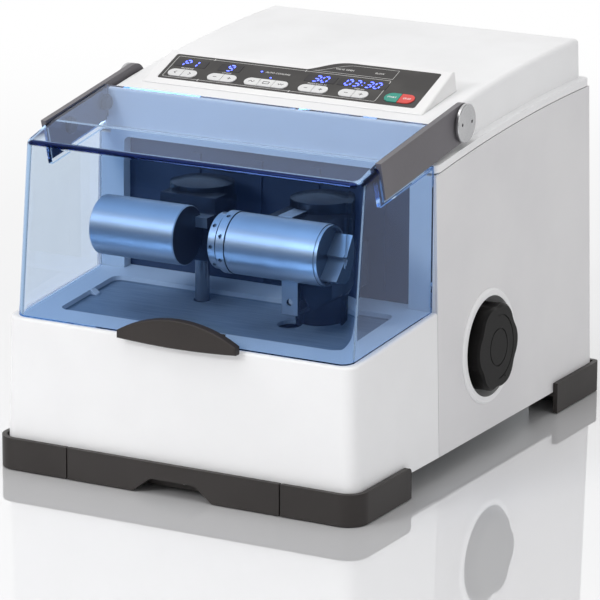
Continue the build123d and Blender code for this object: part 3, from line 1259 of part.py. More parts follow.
def jar_bar(x0, x1, radius):
    """Cylinder on the jar axis."""
    return bar_x(x0, x1, JAR_AXIS_Y, JAR_AXIS_Z, radius)


def build_cooling_sleeve():
    """Cooling jacket round the jar: drilled collar, groove, barrel and bright rim."""
    x0 = SLEEVE_LEFT_X - COLLAR_LENGTH
    sleeve = jar_bar(x0, SLEEVE_LEFT_X, COLLAR_RADIUS)
    sleeve += jar_bar(SLEEVE_LEFT_X - CUT_OVERRUN, SLEEVE_RIGHT_X - SLEEVE_RIM_LENGTH, SLEEVE_RADIUS)
    sleeve += jar_bar(SLEEVE_RIGHT_X - SLEEVE_RIM_LENGTH, SLEEVE_RIGHT_X, SLEEVE_RIM_RADIUS)
    groove = jar_bar(SLEEVE_LEFT_X, SLEEVE_LEFT_X + COLLAR_GROOVE, COLLAR_RADIUS + CUT_OVERRUN)
    groove -= jar_bar(SLEEVE_LEFT_X - CUT_OVERRUN, SLEEVE_LEFT_X + 2 * CUT_OVERRUN,
                      SLEEVE_RADIUS - COLLAR_GROOVE_DEPTH)
    sleeve -= groove
    sleeve -= jar_bar(x0 - CUT_OVERRUN, SLEEVE_RIGHT_X + CUT_OVERRUN, SLEEVE_BORE_RADIUS)
    half_pitch = 180 / RING_HOLE_COUNT
    for hole in ring_holes(SLEEVE_LEFT_X - COLLAR_LENGTH / 2, COLLAR_RADIUS, RING_HOLE_DEPTH, half_pitch):
        sleeve -= hole
    return sleeve


def build_grinding_jar():
    """Steel jar in the sleeve, its hollow, and the half round key on its right end."""
    x0 = SLEEVE_LEFT_X - COLLAR_LENGTH
    x1 = SLEEVE_RIGHT_X - JAR_END_RECESS
    jar = jar_bar(x0, x1, JAR_RADIUS)
    inner = JAR_RADIUS - JAR_WALL
    right = x1 - JAR_WALL - inner
    bore = jar_bar(x0 - CUT_OVERRUN, right, inner) + Pos(right, JAR_AXIS_Y, JAR_AXIS_Z) * Sphere(inner)
    return (jar - bore) + end_key(x1)


def end_key(x0):
    """Half disc with a step in its straight side, standing out of the jar's right end."""
    reach = 2 * END_KEY_RADIUS
    x1 = SLEEVE_RIGHT_X + END_KEY_PROUD
    disc = Rot(0, 90, 0) * Cylinder(END_KEY_RADIUS, x1 - x0 + CUT_OVERRUN)
    half = side_prism([(-reach, -END_KEY_STEP), (0, -END_KEY_STEP), (0, 0), (reach, 0), (reach, -reach),
                       (-reach, -reach)], -reach, reach)
    place = Pos((x0 - CUT_OVERRUN + x1) / 2, JAR_AXIS_Y, JAR_AXIS_Z)
    return place * Rot(END_KEY_TURN_DEG, 0, 0) * (disc & half)


def build_jar_screw_cap():
    """Drilled screw cap on the jar's left end, standing just clear of the collar."""
    x1 = SLEEVE_LEFT_X - COLLAR_LENGTH - CAP_GAP
    x0 = x1 - CAP_LENGTH
    cap = jar_bar(x0, x1, CAP_RADIUS)
    cap = chamfer(cap.edges().filter_by(GeomType.CIRCLE).sort_by(Axis.X)[:1], COUNTER_EDGE)
    plug = JAR_RADIUS - JAR_WALL - RUNNING_GAP
    cap += jar_bar(x1 - CUT_OVERRUN, x1 + CAP_GAP + CAP_LENGTH, plug)
    for hole in ring_holes((x0 + x1) / 2, CAP_RADIUS, RING_HOLE_DEPTH, 0):
        cap -= hole
    return cap


def build_grinding_ball():
    """Loose steel ball in the middle of the jar."""
    middle = (SLEEVE_LEFT_X + SLEEVE_RIGHT_X) / 2
    inner = JAR_RADIUS - JAR_WALL
    z = JAR_AXIS_Z - inner + GRINDING_BALL_RADIUS + SEAT_GAP
    return Pos(middle, JAR_AXIS_Y, z) * Sphere(GRINDING_BALL_RADIUS)


def lever(x, direction, z0):
    """Tail lever on a rocker shaft, reaching the middle of the yoke."""
    y = ROCKER_PIVOT_Y
    tip = x + direction * LEVER_REACH
    arm = block(min(x, tip), max(x, tip), y - LEVER_WIDTH / 2, y + LEVER_WIDTH / 2, z0,
                z0 + LEVER_THICKNESS)
    arm += post(tip, y, z0, z0 + LEVER_THICKNESS, LEVER_WIDTH / 2)
    arm += post(x, y, z0, z0 + LEVER_THICKNESS, LEVER_HUB_RADIUS)
    return arm


def rocker_shaft(x):
    """Upright shaft from the lower bearing up into its head, with its narrower upper end."""
    step_z = FRAME_TOP_PLATE + FRAME_PLATE
    top = COLUMN_TOP - COLUMN_STEP_DROP - SEAT_GAP
    shaft = post(x, ROCKER_PIVOT_Y, BASE_TOP + SEAT_GAP, step_z, ROCKER_SHAFT_RADIUS)
    return shaft + post(x, ROCKER_PIVOT_Y, step_z - CUT_OVERRUN, top, shaft_neck(x))


def build_jar_rocker_shaft():
    """Shaft, lower lever and upright drive pin of the jar side."""
    pin_top = YOKE_BOTTOM + YOKE_SLOT_DEPTH - SEAT_GAP
    shaft = rocker_shaft(JAR_PIVOT_X) + lever(JAR_PIVOT_X, -1, LOWER_LEVER_Z)
    return shaft + post(YOKE_X, ROCKER_PIVOT_Y, LOWER_LEVER_Z, pin_top, DRIVE_PIN_RADIUS)


def build_counter_rocker_shaft():
    """Shaft, upper lever and hanging drive pin of the counterweight side."""
    pin_bottom = YOKE_TOP - YOKE_SLOT_DEPTH + SEAT_GAP
    shaft = rocker_shaft(COUNTER_PIVOT_X) + lever(COUNTER_PIVOT_X, 1, UPPER_LEVER_Z)
    return shaft + post(YOKE_X, ROCKER_PIVOT_Y, pin_bottom, UPPER_LEVER_Z + LEVER_THICKNESS,
                        DRIVE_PIN_RADIUS)


def build_counter_column():
    """Counterweight side head on its slim shaft, with the dark mounting block."""
    y0 = JAR_AXIS_Y + COUNTER_RADIUS + SEAT_GAP
    y1 = ROCKER_PIVOT_Y - HEAD_RADIUS / 2
    mount = block(COUNTER_BLOCK_LEFT_X, COUNTER_BLOCK_RIGHT_X, y0, y1, COUNTER_BLOCK_BOTTOM,
                  COUNTER_BLOCK_TOP)
    x = COUNTER_PIVOT_X
    solid = Pos(x, ROCKER_PIVOT_Y, 0) * head_profile(HEAD_BOTTOM) + mount
    return solid - shaft_bore(x, HEAD_BOTTOM - CUT_OVERRUN)


def build_counterweight():
    """Plain steel cylinder with a small key at the back of its right end."""
    weight = bar_x(COUNTER_LEFT_X, COUNTER_RIGHT_X, JAR_AXIS_Y, JAR_AXIS_Z, COUNTER_RADIUS)
    weight = chamfer(weight.edges().filter_by(GeomType.CIRCLE), COUNTER_EDGE)
    x1 = COUNTER_BLOCK_RIGHT_X - SEAT_GAP
    y0 = JAR_AXIS_Y + COUNTER_RADIUS / 2
    z0 = JAR_AXIS_Z
    key = block(COUNTER_RIGHT_X - COUNTER_KEY_WIDTH, x1, y0, JAR_AXIS_Y + COUNTER_RADIUS,
                z0 + COUNTER_KEY_HEIGHT, z0 + COUNTER_KEY_HEIGHT * 3)
    return weight + key


def build_base_plate():
    """Chassis plate with the drawer's runners under it."""
    half = HALF_WIDTH_LOW - SHELL_WALL - PLAN_TAPER - SEAT_GAP
    y0 = SHELL_FRONT_Y + SHELL_WALL + BASE_PLATE_MARGIN
    y1 = rear_face(0) - PANEL_WALL - SEAT_GAP - BASE_PLATE_MARGIN / 6
    plate = rounded_plan(-half, half, y0, y1, HOUSING_BOTTOM, BASE_TOP, BASE_PLATE_MARGIN)
    for side in (-1, 1):
        near = SEAM_HALF_WIDTH + SEAM_GAP + DRAWER_SIDE_GAP
        x0 = side * near
        x1 = side * (near + RAIL_WALL)
        ledge = side * (near - RAIL_LEDGE)
        y_front = FRONT_Y + SKIRT_WALL + SKIRT_LIP_WIDTH + SEAT_GAP
        z0 = BENCH_CLEARANCE
        rail = block(min(x0, x1), max(x0, x1), y_front, FRONT_Y + DRAWER_DEPTH, z0, HOUSING_BOTTOM)
        rail += block(min(ledge, x1), max(ledge, x1), y_front, FRONT_Y + DRAWER_DEPTH, z0,
                      z0 + DRAWER_WALL)
        plate += rail
    return plate


def build_foot_pads():
    """Four rubber feet under the base plate."""
    pads = []
    for x in (-FOOT_PAD_X, FOOT_PAD_X):
        for y in (FRONT_Y + FOOT_PAD_FROM_END, REAR_Y - FOOT_PAD_FROM_END):
            pad = post(x, y, 0, HOUSING_BOTTOM, FOOT_PAD_RADIUS)
            pads.append(chamfer(pad.edges().filter_by(GeomType.CIRCLE).sort_by(Axis.Z)[:1], BENCH_CLEARANCE))
    return Compound(children=pads)


def skirt_ring(radius, inset, z0, z1):
    """Rounded plan of the skirt, set in by inset."""
    return rounded_plan(-BODY_WIDTH / 2 + inset, BODY_WIDTH / 2 - inset, FRONT_Y + inset, REAR_Y - inset,
                        z0, z1, radius - inset)


def skirt_wall(radius, thickness):
    """Upright wall and inward lip of the skirt, all round."""
    z0 = BENCH_CLEARANCE
    lip_top = HOUSING_BOTTOM - SEAT_GAP
    wall = skirt_ring(radius, 0, z0, SKIRT_HEIGHT) - skirt_ring(radius, thickness, 0, BODY_WIDTH)
    lip = skirt_ring(radius, 0, lip_top - SKIRT_LIP_THICKNESS, lip_top)
    lip -= rounded_plan(-BODY_WIDTH / 2 + thickness + SKIRT_LIP_WIDTH, BODY_WIDTH / 2 - thickness
                        - SKIRT_LIP_WIDTH, FRONT_Y + thickness + SKIRT_LIP_WIDTH,
                        REAR_Y - thickness - SKIRT_LIP_WIDTH, 0, BODY_WIDTH, SKIRT_WALL)
    return wall + lip


def foot_pad_room():
    """Room for the rubber feet in the skirt's lip."""
    tools = []
    for x in (-FOOT_PAD_X, FOOT_PAD_X):
        for y in (FRONT_Y + FOOT_PAD_FROM_END, REAR_Y - FOOT_PAD_FROM_END):
            tools.append(post(x, y, 0, HOUSING_BOTTOM, FOOT_PAD_RADIUS + 2 * SEAT_GAP))
    return tools


def build_skirt_corner():
    """Right front skirt corner with its rounded side end."""
    y1 = FRONT_Y + SKIRT_SIDE_LENGTH
    x0 = SEAM_HALF_WIDTH + SEAM_GAP
    keep = block(x0, BODY_WIDTH, FRONT_Y - CUT_OVERRUN, y1, 0, BODY_WIDTH)
    corner = skirt_wall(SKIRT_CORNER_RADIUS, SKIRT_WALL) & keep
    end = [e for e in corner.edges().filter_by(Axis.X) if e.center().Z > SKIRT_HEIGHT - RUNNING_GAP
           and e.center().Y > y1 - RUNNING_GAP]
    corner = fillet(end, SKIRT_END_RADIUS)
    for tool in foot_pad_room():
        corner -= tool
    return corner


def build_rear_foot():
    """Right rear foot: upright plate round the corner with a lip under the base plate."""
    y0 = REAR_Y - REAR_FOOT_LENGTH
    side = block(0, BODY_WIDTH, y0, REAR_Y, 0, BODY_WIDTH)
    keep_rear = block(BODY_WIDTH / 2 - REAR_FOOT_RETURN, BODY_WIDTH, REAR_Y - REAR_FOOT_LENGTH, REAR_Y, 0,
                      BODY_WIDTH)
    foot = skirt_wall(REAR_FOOT_CORNER_RADIUS, SKIRT_WALL) & side & keep_rear
    for tool in foot_pad_room():
        foot -= tool
    return foot


def build_bearing_frame():
    """Cast frame for both rocker shafts, the crank bearing and the two yoke guide rods."""
    x0 = COUNTER_PIVOT_X - FRAME_MARGIN_X
    x1 = JAR_PIVOT_X + FRAME_MARGIN_X
    y0 = ROCKER_PIVOT_Y - FRAME_HALF_DEPTH - GUIDE_BAR
    y1 = ROCKER_PIVOT_Y + FRAME_TAIL
    z0 = BASE_TOP
    z1 = z0 + FRAME_PLATE
    y_front = ROCKER_PIVOT_Y - FRAME_HALF_DEPTH
    y_back = ROCKER_PIVOT_Y + FRAME_HALF_DEPTH
    frame = block(x0, x1, y0, y1, z0, z1)
    frame += block(x0, x1, y_front, y_back, FRAME_TOP_PLATE, FRAME_TOP_PLATE + FRAME_PLATE)
    frame += block(x0, x0 + FRAME_CHEEK, y_front, y_back, z1, FRAME_TOP_PLATE)
    frame += block(x1 - FRAME_CHEEK, x1, y_front, y_back, z1, FRAME_TOP_PLATE)
    for bar_front in (y0, y1 - GUIDE_BAR):
        frame += guide_bar(bar_front, z1)
    for x in (JAR_PIVOT_X, COUNTER_PIVOT_X):
        frame -= post(x, ROCKER_PIVOT_Y, z0 + SEAT_GAP, z1 + CUT_OVERRUN, BEARING_RADIUS + RUNNING_GAP)
        frame -= post(x, ROCKER_PIVOT_Y, FRAME_TOP_PLATE - CUT_OVERRUN,
                      FRAME_TOP_PLATE + FRAME_PLATE + CUT_OVERRUN, BEARING_RADIUS + RUNNING_GAP)
    frame -= post(CRANK_X, CRANK_Y, z0 + SEAT_GAP, z1 + CUT_OVERRUN, CRANK_BEARING_RADIUS + RUNNING_GAP)
    return frame


def guide_bar(y0, z1):
    """Cross bar on two posts that holds the guide rods clear of the belt."""
    half = GUIDE_BAR_HALF_WIDTH
    z_mid = (YOKE_BOTTOM + YOKE_TOP) / 2
    low = z_mid - GUIDE_BAR_HEIGHT / 2
    bar = block(YOKE_X - half, YOKE_X + half, y0, y0 + GUIDE_BAR, low, low + GUIDE_BAR_HEIGHT)
    for side in (-1, 1):
        x = YOKE_X + side * (half - GUIDE_POST / 2)
        bar += block(x - GUIDE_POST / 2, x + GUIDE_POST / 2, y0, y0 + GUIDE_BAR, z1, low)
        bar -= bar_y(y0 - CUT_OVERRUN, y0 + GUIDE_BAR + CUT_OVERRUN, YOKE_X + side * GUIDE_ROD_OFFSET, z_mid,
                     GUIDE_ROD_RADIUS + RUNNING_GAP)
    return bar


def bearing_ring(x, y, z0, outer, inner):
    """Sealed ball bearing as one ring."""
    ring = post(x, y, z0, z0 + BEARING_WIDTH, outer)
    return ring - post(x, y, z0 - CUT_OVERRUN, z0 + BEARING_WIDTH + CUT_OVERRUN, inner + RUNNING_GAP)


def build_shaft_bearings():
    """Four rocker bearings and the crank bearing."""
    low = BASE_TOP + SEAT_GAP * 2
    high = FRAME_TOP_PLATE + (FRAME_PLATE - BEARING_WIDTH) / 2
    rings = []
    for x in (JAR_PIVOT_X, COUNTER_PIVOT_X):
        for z in (low, high):
            rings.append(bearing_ring(x, ROCKER_PIVOT_Y, z, BEARING_RADIUS, ROCKER_SHAFT_RADIUS))
    rings.append(bearing_ring(CRANK_X, CRANK_Y, low, CRANK_BEARING_RADIUS, CRANK_SHAFT_RADIUS))
    return Compound(children=rings)


def build_guide_rods():
    """Two ground rods that the yoke slides on."""
    y0 = ROCKER_PIVOT_Y - FRAME_HALF_DEPTH - GUIDE_BAR
    y1 = ROCKER_PIVOT_Y + FRAME_TAIL
    z = (YOKE_BOTTOM + YOKE_TOP) / 2
    rods = [bar_y(y0, y1, YOKE_X + side * GUIDE_ROD_OFFSET, z, GUIDE_ROD_RADIUS) for side in (-1, 1)]
    return Compound(children=rods)


def build_drive_yoke():
    """Sliding yoke: a blind slot above and below for the lever pins and a slot for the crank."""
    y0 = ROCKER_PIVOT_Y - YOKE_END
    y1 = CRANK_Y + YOKE_END
    yoke = block(YOKE_X - YOKE_HALF_WIDTH, YOKE_X + YOKE_HALF_WIDTH, y0, y1, YOKE_BOTTOM, YOKE_TOP)
    ear_y = ROCKER_PIVOT_Y + YOKE_EAR_FRONT
    yoke += block(YOKE_X - YOKE_EAR_HALF_WIDTH, YOKE_X + YOKE_EAR_HALF_WIDTH, ear_y,
                  ear_y + YOKE_EAR_LENGTH, YOKE_BOTTOM, YOKE_TOP)
    width = 2 * (DRIVE_PIN_RADIUS + DRIVE_PIN_CLEARANCE)
    length = width + 2 * YOKE_SLOT_EXTRA
    slot = Pos(YOKE_X, ROCKER_PIVOT_Y) * SlotOverall(length, width)
    over = CUT_OVERRUN
    yoke -= Pos(0, 0, YOKE_BOTTOM - over) * extrude(slot, amount=YOKE_SLOT_DEPTH + over)
    yoke -= Pos(0, 0, YOKE_TOP - YOKE_SLOT_DEPTH) * extrude(slot, amount=YOKE_SLOT_DEPTH + over)
    crank_slot = Pos(YOKE_X - YOKE_SLOT_EXTRA, CRANK_Y) * SlotOverall(length + 2 * YOKE_SLOT_EXTRA, width)
    yoke -= Pos(0, 0, YOKE_BOTTOM - over) * extrude(crank_slot, amount=YOKE_THICKNESS + 2 * over)
    for side in (-1, 1):
        yoke -= bar_y(ear_y - over, ear_y + YOKE_EAR_LENGTH + over, YOKE_X + side * GUIDE_ROD_OFFSET,
                      (YOKE_BOTTOM + YOKE_TOP) / 2, GUIDE_ROD_RADIUS + RUNNING_GAP)
    return yoke


def pulley(x, y, radius, bore):
    """Flanged flat belt pulley."""
    z0 = PULLEY_BOTTOM
    z1 = z0 + PULLEY_WIDTH
    wheel = post(x, y, z0, z1, radius)
    for flange_z in (z0, z1 - PULLEY_FLANGE_WIDTH):
        wheel += post(x, y, flange_z, flange_z + PULLEY_FLANGE_WIDTH, radius + PULLEY_FLANGE)
    return wheel


def build_crank_shaft():
    """Crank shaft with its driven pulley, web and crank pin."""
    web_z = LOWER_LEVER_Z - BEARING_WIDTH / 4
    shaft = post(CRANK_X, CRANK_Y, BASE_TOP + SEAT_GAP * 2, web_z + CRANK_WEB_THICKNESS, CRANK_SHAFT_RADIUS)
    shaft += pulley(CRANK_X, CRANK_Y, DRIVEN_PULLEY_RADIUS, CRANK_SHAFT_RADIUS)
    shaft += post(CRANK_X, CRANK_Y, web_z, web_z + CRANK_WEB_THICKNESS, CRANK_WEB_RADIUS)
    shaft += post(YOKE_X, CRANK_Y, web_z, YOKE_TOP - YOKE_GAP, DRIVE_PIN_RADIUS)
    return shaft


def build_motor_pulley():
    """Motor shaft with the small pulley."""
    radius = DRIVEN_PULLEY_RADIUS * PULLEY_RATIO_SHARE
    wheel = pulley(CRANK_X, MOTOR_Y, radius, MOTOR_SHAFT_RADIUS)
    return wheel + post(CRANK_X, MOTOR_Y, PULLEY_BOTTOM, MOTOR_FLANGE_Z + MOTOR_SHAFT_LENGTH,
                        MOTOR_SHAFT_RADIUS)


def belt_outline(growth):
    """Tangent loop round both pulleys, grown by growth."""
    radius_a = DRIVEN_PULLEY_RADIUS + growth
    radius_b = DRIVEN_PULLEY_RADIUS * PULLEY_RATIO_SHARE + growth
    big = Pos(CRANK_X, CRANK_Y) * Circle(radius_a)
    small = Pos(CRANK_X, MOTOR_Y) * Circle(radius_b)
    return make_hull(big.edges() + small.edges())


def build_drive_belt():
    """Flat belt between the pulley flanges."""
    z0 = PULLEY_BOTTOM + PULLEY_FLANGE_WIDTH + SEAT_GAP
    height = PULLEY_WIDTH - 2 * (PULLEY_FLANGE_WIDTH + SEAT_GAP)
    ring = belt_outline(SEAT_GAP + BELT_THICKNESS) - belt_outline(SEAT_GAP)
    return Pos(0, 0, z0) * extrude(ring, amount=height)


def build_drive_motor():
    """Upright motor on a legged flange, with fins and an end cap."""
    x = CRANK_X
    y = MOTOR_Y
    half = MOTOR_FLANGE_HALF
    z0 = MOTOR_FLANGE_Z
    z1 = z0 + MOTOR_FLANGE_THICKNESS
    motor = rounded_plan(x - half, x + half, y - half, y + half, z0, z1, MOTOR_LEG / 2)
    for dx in (-1, 1):
        for dy in (-1, 1):
            cx = x + dx * (half - MOTOR_LEG)
            cy = y + dy * (half - MOTOR_LEG)
            leg = MOTOR_LEG / 2
            motor += block(cx - leg, cx + leg, cy - leg, cy + leg, BASE_TOP, z0 + CUT_OVERRUN)
    motor += post(x, y, z1 - CUT_OVERRUN, z1 + MOTOR_HEIGHT, MOTOR_RADIUS)
    reach = MOTOR_RADIUS + MOTOR_FIN_HEIGHT
    for i in range(MOTOR_FIN_COUNT // 2):
        fin = Box(2 * reach, MOTOR_FIN_WIDTH, MOTOR_HEIGHT - 2 * MOTOR_CAP_HEIGHT)
        motor += Pos(x, y, z1 + MOTOR_HEIGHT / 2) * Rot(0, 0, 360 * i / MOTOR_FIN_COUNT) * fin
    cap = post(x, y, z1 + MOTOR_HEIGHT - CUT_OVERRUN, z1 + MOTOR_HEIGHT + MOTOR_CAP_HEIGHT,
               MOTOR_RADIUS - MOTOR_FIN_HEIGHT)
    motor += cap
    motor -= post(x, y, z0 - CUT_OVERRUN, z0 + MOTOR_SHAFT_LENGTH + SEAT_GAP,
                  MOTOR_SHAFT_RADIUS + RUNNING_GAP)
    return motor


def build_knob_bezel():
    """Round bezel on the right panel with the dark cup and the shaft bush behind it."""
    plane = knob_frame()
    ring = Pos(0, 0, BEZEL_PROUD / 2) * Cylinder(BEZEL_RADIUS, BEZEL_PROUD)
    ring = chamfer(ring.edges().filter_by(GeomType.CIRCLE).sort_by(Axis.Z)[-1:], BEZEL_EDGE)
    outer = BEZEL_INNER_RADIUS + CUP_WALL
    cup = Pos(0, 0, -CUP_DEPTH / 2) * Cylinder(outer, CUP_DEPTH)
    hollow_depth = CUP_DEPTH - CUP_WALL + BEZEL_PROUD
    hollow = Pos(0, 0, BEZEL_PROUD - hollow_depth / 2 + CUT_OVERRUN / 2)
    body = ring + cup - hollow * Cylinder(BEZEL_INNER_RADIUS, hollow_depth + CUT_OVERRUN)
    bush_length = KNOB_SHAFT_LENGTH
    bush = Pos(0, 0, -CUP_DEPTH - bush_length / 2 + CUP_WALL)
    body += bush * Cylinder(KNOB_SHAFT_RADIUS * 2, bush_length)
    body -= Pos(0, 0, -CUP_DEPTH) * Cylinder(KNOB_SHAFT_RADIUS + RUNNING_GAP, 4 * bush_length)
    return plane * body


def polar(radius, angle):
    """Point at a radius and an angle round the knob's axis."""
    return (radius * math.cos(angle), radius * math.sin(angle))


def knob_outline():
    """Six lobed hand knob: an arc over each lobe runs into one through each dip."""
    half = math.pi / KNOB_LOBES
    lobe = KNOB_LOBE_RADIUS
    far = KNOB_RADIUS - lobe
    dip = KNOB_RADIUS - KNOB_WAIST
    spread = far ** 2 + dip ** 2 - 2 * far * dip * math.cos(half) - lobe ** 2
    hollow = spread / (2 * (lobe - dip + far * math.cos(half)))
    centre = Vector(*polar(dip + hollow, half))
    meet = Vector(far, 0) + (centre - Vector(far, 0)).normalized() * lobe
    turn = math.atan2(meet.Y, meet.X)
    arcs = []
    for i in range(KNOB_LOBES):
        start = 2 * half * i
        first = polar(meet.length, start - turn)
        last = polar(meet.length, start + turn)
        after = polar(meet.length, start + 2 * half - turn)
        arcs.append(ThreePointArc(first, polar(KNOB_RADIUS, start), last))
        arcs.append(ThreePointArc(last, polar(dip, start + half), after))
    return make_face(arcs)


def build_side_knob():
    """Lobed knob with a bossed face, a finger groove and its short shaft."""
    body = Pos(0, 0, KNOB_PROUD - KNOB_THICKNESS) * extrude(knob_outline(), amount=KNOB_THICKNESS)
    front = body.faces().sort_by(Axis.Z)[-1]
    body = chamfer(front.edges(), KNOB_EDGE_RADIUS)
    groove_z = KNOB_PROUD - KNOB_GROOVE_DEPTH
    ring = Circle(KNOB_BOSS_RADIUS + KNOB_GROOVE_WIDTH) - Circle(KNOB_BOSS_RADIUS)
    body -= Pos(0, 0, groove_z) * extrude(ring, amount=KNOB_EDGE_RADIUS)
    arc = Circle(KNOB_GROOVE_RADIUS + KNOB_GROOVE_WIDTH) - Circle(KNOB_GROOVE_RADIUS)
    reach = KNOB_RADIUS
    arc &= Pos(reach / 2, 0) * Rectangle(reach, 2 * reach)
    body -= Pos(0, 0, groove_z) * extrude(arc, amount=KNOB_EDGE_RADIUS)
    turn = math.radians(KNOB_DOT_DEG)
    dot = Pos(KNOB_DOT_FROM_AXIS * math.cos(turn), -KNOB_DOT_FROM_AXIS * math.sin(turn))
    body -= Pos(0, 0, groove_z) * extrude(dot * Circle(KNOB_DOT_RADIUS), amount=KNOB_EDGE_RADIUS)
    depth = KNOB_THICKNESS - KNOB_PROUD
    shaft_end = CUP_DEPTH + KNOB_SHAFT_LENGTH - CUP_WALL
    shaft = Pos(0, 0, -(depth + shaft_end) / 2) * Cylinder(KNOB_SHAFT_RADIUS, shaft_end - depth)
    return knob_frame() * (body + shaft)


def arch_outline():
    """Finger arch under the drawer front."""
    return [(-ARCH_HALF_WIDTH, 0), (-ARCH_FLAT_HALF_WIDTH, ARCH_HEIGHT), (ARCH_FLAT_HALF_WIDTH, ARCH_HEIGHT),
            (ARCH_HALF_WIDTH, 0)]


def build_accessory_drawer():
    """Shallow drawer whose front is the middle of the skirt, with a finger arch and a catch."""
    half = SEAM_HALF_WIDTH
    z0 = BENCH_CLEARANCE
    front = block(-half, half, FRONT_Y, FRONT_Y + SKIRT_WALL, z0, SKIRT_HEIGHT)
    tray_half = half - DRAWER_SIDE_GAP - RAIL_LEDGE
    tray_top = HOUSING_BOTTOM - DRAWER_TOP_GAP
    y1 = FRONT_Y + DRAWER_DEPTH
    floor_z = z0 + DRAWER_WALL + SEAT_GAP
    tray = block(-tray_half, tray_half, FRONT_Y + SKIRT_WALL, y1, floor_z, tray_top)
    side = half - DRAWER_SIDE_GAP
    tray += block(-side, side, FRONT_Y + SKIRT_WALL + SKIRT_LIP_WIDTH, y1, floor_z, floor_z + DRAWER_WALL)
    front_wall = FRONT_Y + SKIRT_WALL + SKIRT_LIP_WIDTH + DRAWER_WALL
    tray -= block(-tray_half + DRAWER_WALL, tray_half - DRAWER_WALL, front_wall, y1 - DRAWER_WALL,
                  floor_z + DRAWER_WALL, tray_top + CUT_OVERRUN)
    drawer = front + tray
    arch = front_prism(arch_outline(), FRONT_Y - CUT_OVERRUN, front_wall - DRAWER_WALL)
    arch_edges = arch.edges().filter_by(Axis.Y).sort_by(Axis.Z)[-2:]
    drawer -= fillet(arch_edges, ARCH_HEIGHT / 2)
    catch_y = front_wall - DRAWER_WALL
    drawer += bar_y(catch_y - CATCH_LENGTH, catch_y, ARCH_FLAT_HALF_WIDTH / 6, ARCH_HEIGHT - CATCH_RADIUS * 2,
                    CATCH_RADIUS)
    return drawer


def fan_centre():
    """Y of the fan's rear face against the rear panel."""
    return rear_face(FAN_Z + FAN_HALF) - PANEL_WALL - SEAT_GAP


def build_cooling_fan():
    """Square fan frame with its hub spider."""
    y1 = fan_centre()
    y0 = y1 - FAN_DEPTH
    frame = block(FAN_X - FAN_HALF, FAN_X + FAN_HALF, y0, y1, FAN_Z - FAN_HALF, FAN_Z + FAN_HALF)
    frame = fillet(frame.edges().filter_by(Axis.Y), FAN_HALF - FAN_HOLE_OFFSET)
    frame -= bar_y(y0 - CUT_OVERRUN, y1 + CUT_OVERRUN, FAN_X, FAN_Z, FAN_BORE_RADIUS)
    for dx in (-1, 1):
        for dz in (-1, 1):
            frame -= bar_y(y0 - CUT_OVERRUN, y1 + CUT_OVERRUN, FAN_X + dx * FAN_HOLE_OFFSET,
                           FAN_Z + dz * FAN_HOLE_OFFSET, FAN_HOLE_RADIUS)
    for angle in (0, 90):
        spoke = Box(2 * FAN_BORE_RADIUS + FAN_HOLE_RADIUS, FAN_SPIDER_THICKNESS, FAN_SPIDER_WIDTH)
        frame += Pos(FAN_X, y0 + FAN_SPIDER_THICKNESS / 2, FAN_Z) * Rot(0, angle, 0) * spoke
    stub = bar_y(y0, y0 + FAN_DEPTH / 2, FAN_X, FAN_Z, FAN_SPIDER_WIDTH / 2)
    return frame + stub


def build_fan_rotor():
    """Fan hub with seven pitched blades, running on the frame's stub."""
    y1 = fan_centre() - SEAT_GAP * 4
    y0 = fan_centre() - FAN_DEPTH + FAN_SPIDER_THICKNESS + SEAT_GAP
    hub = bar_y(y0, y1, FAN_X, FAN_Z, FAN_HUB_RADIUS)
    reach = (FAN_BLADE_RADIUS + FAN_HUB_RADIUS) / 2
    length = FAN_BLADE_RADIUS - FAN_HUB_RADIUS + SEAT_GAP * 4
    middle = (y0 + y1) / 2
    for i in range(FAN_BLADE_COUNT):
        blade = Box(length, FAN_BLADE_WIDTH, FAN_BLADE_THICKNESS)
        pitched = Pos(reach - SEAT_GAP * 2, 0, 0) * Rot(FAN_BLADE_TWIST_DEG, 0, 0) * blade
        hub += Pos(FAN_X, middle, FAN_Z) * Rot(0, 360 * i / FAN_BLADE_COUNT, 0) * pitched
    return hub - bar_y(y0 - CUT_OVERRUN, fan_centre() - FAN_DEPTH / 2 + SEAT_GAP, FAN_X, FAN_Z,
                       FAN_SPIDER_WIDTH / 2 + RUNNING_GAP)


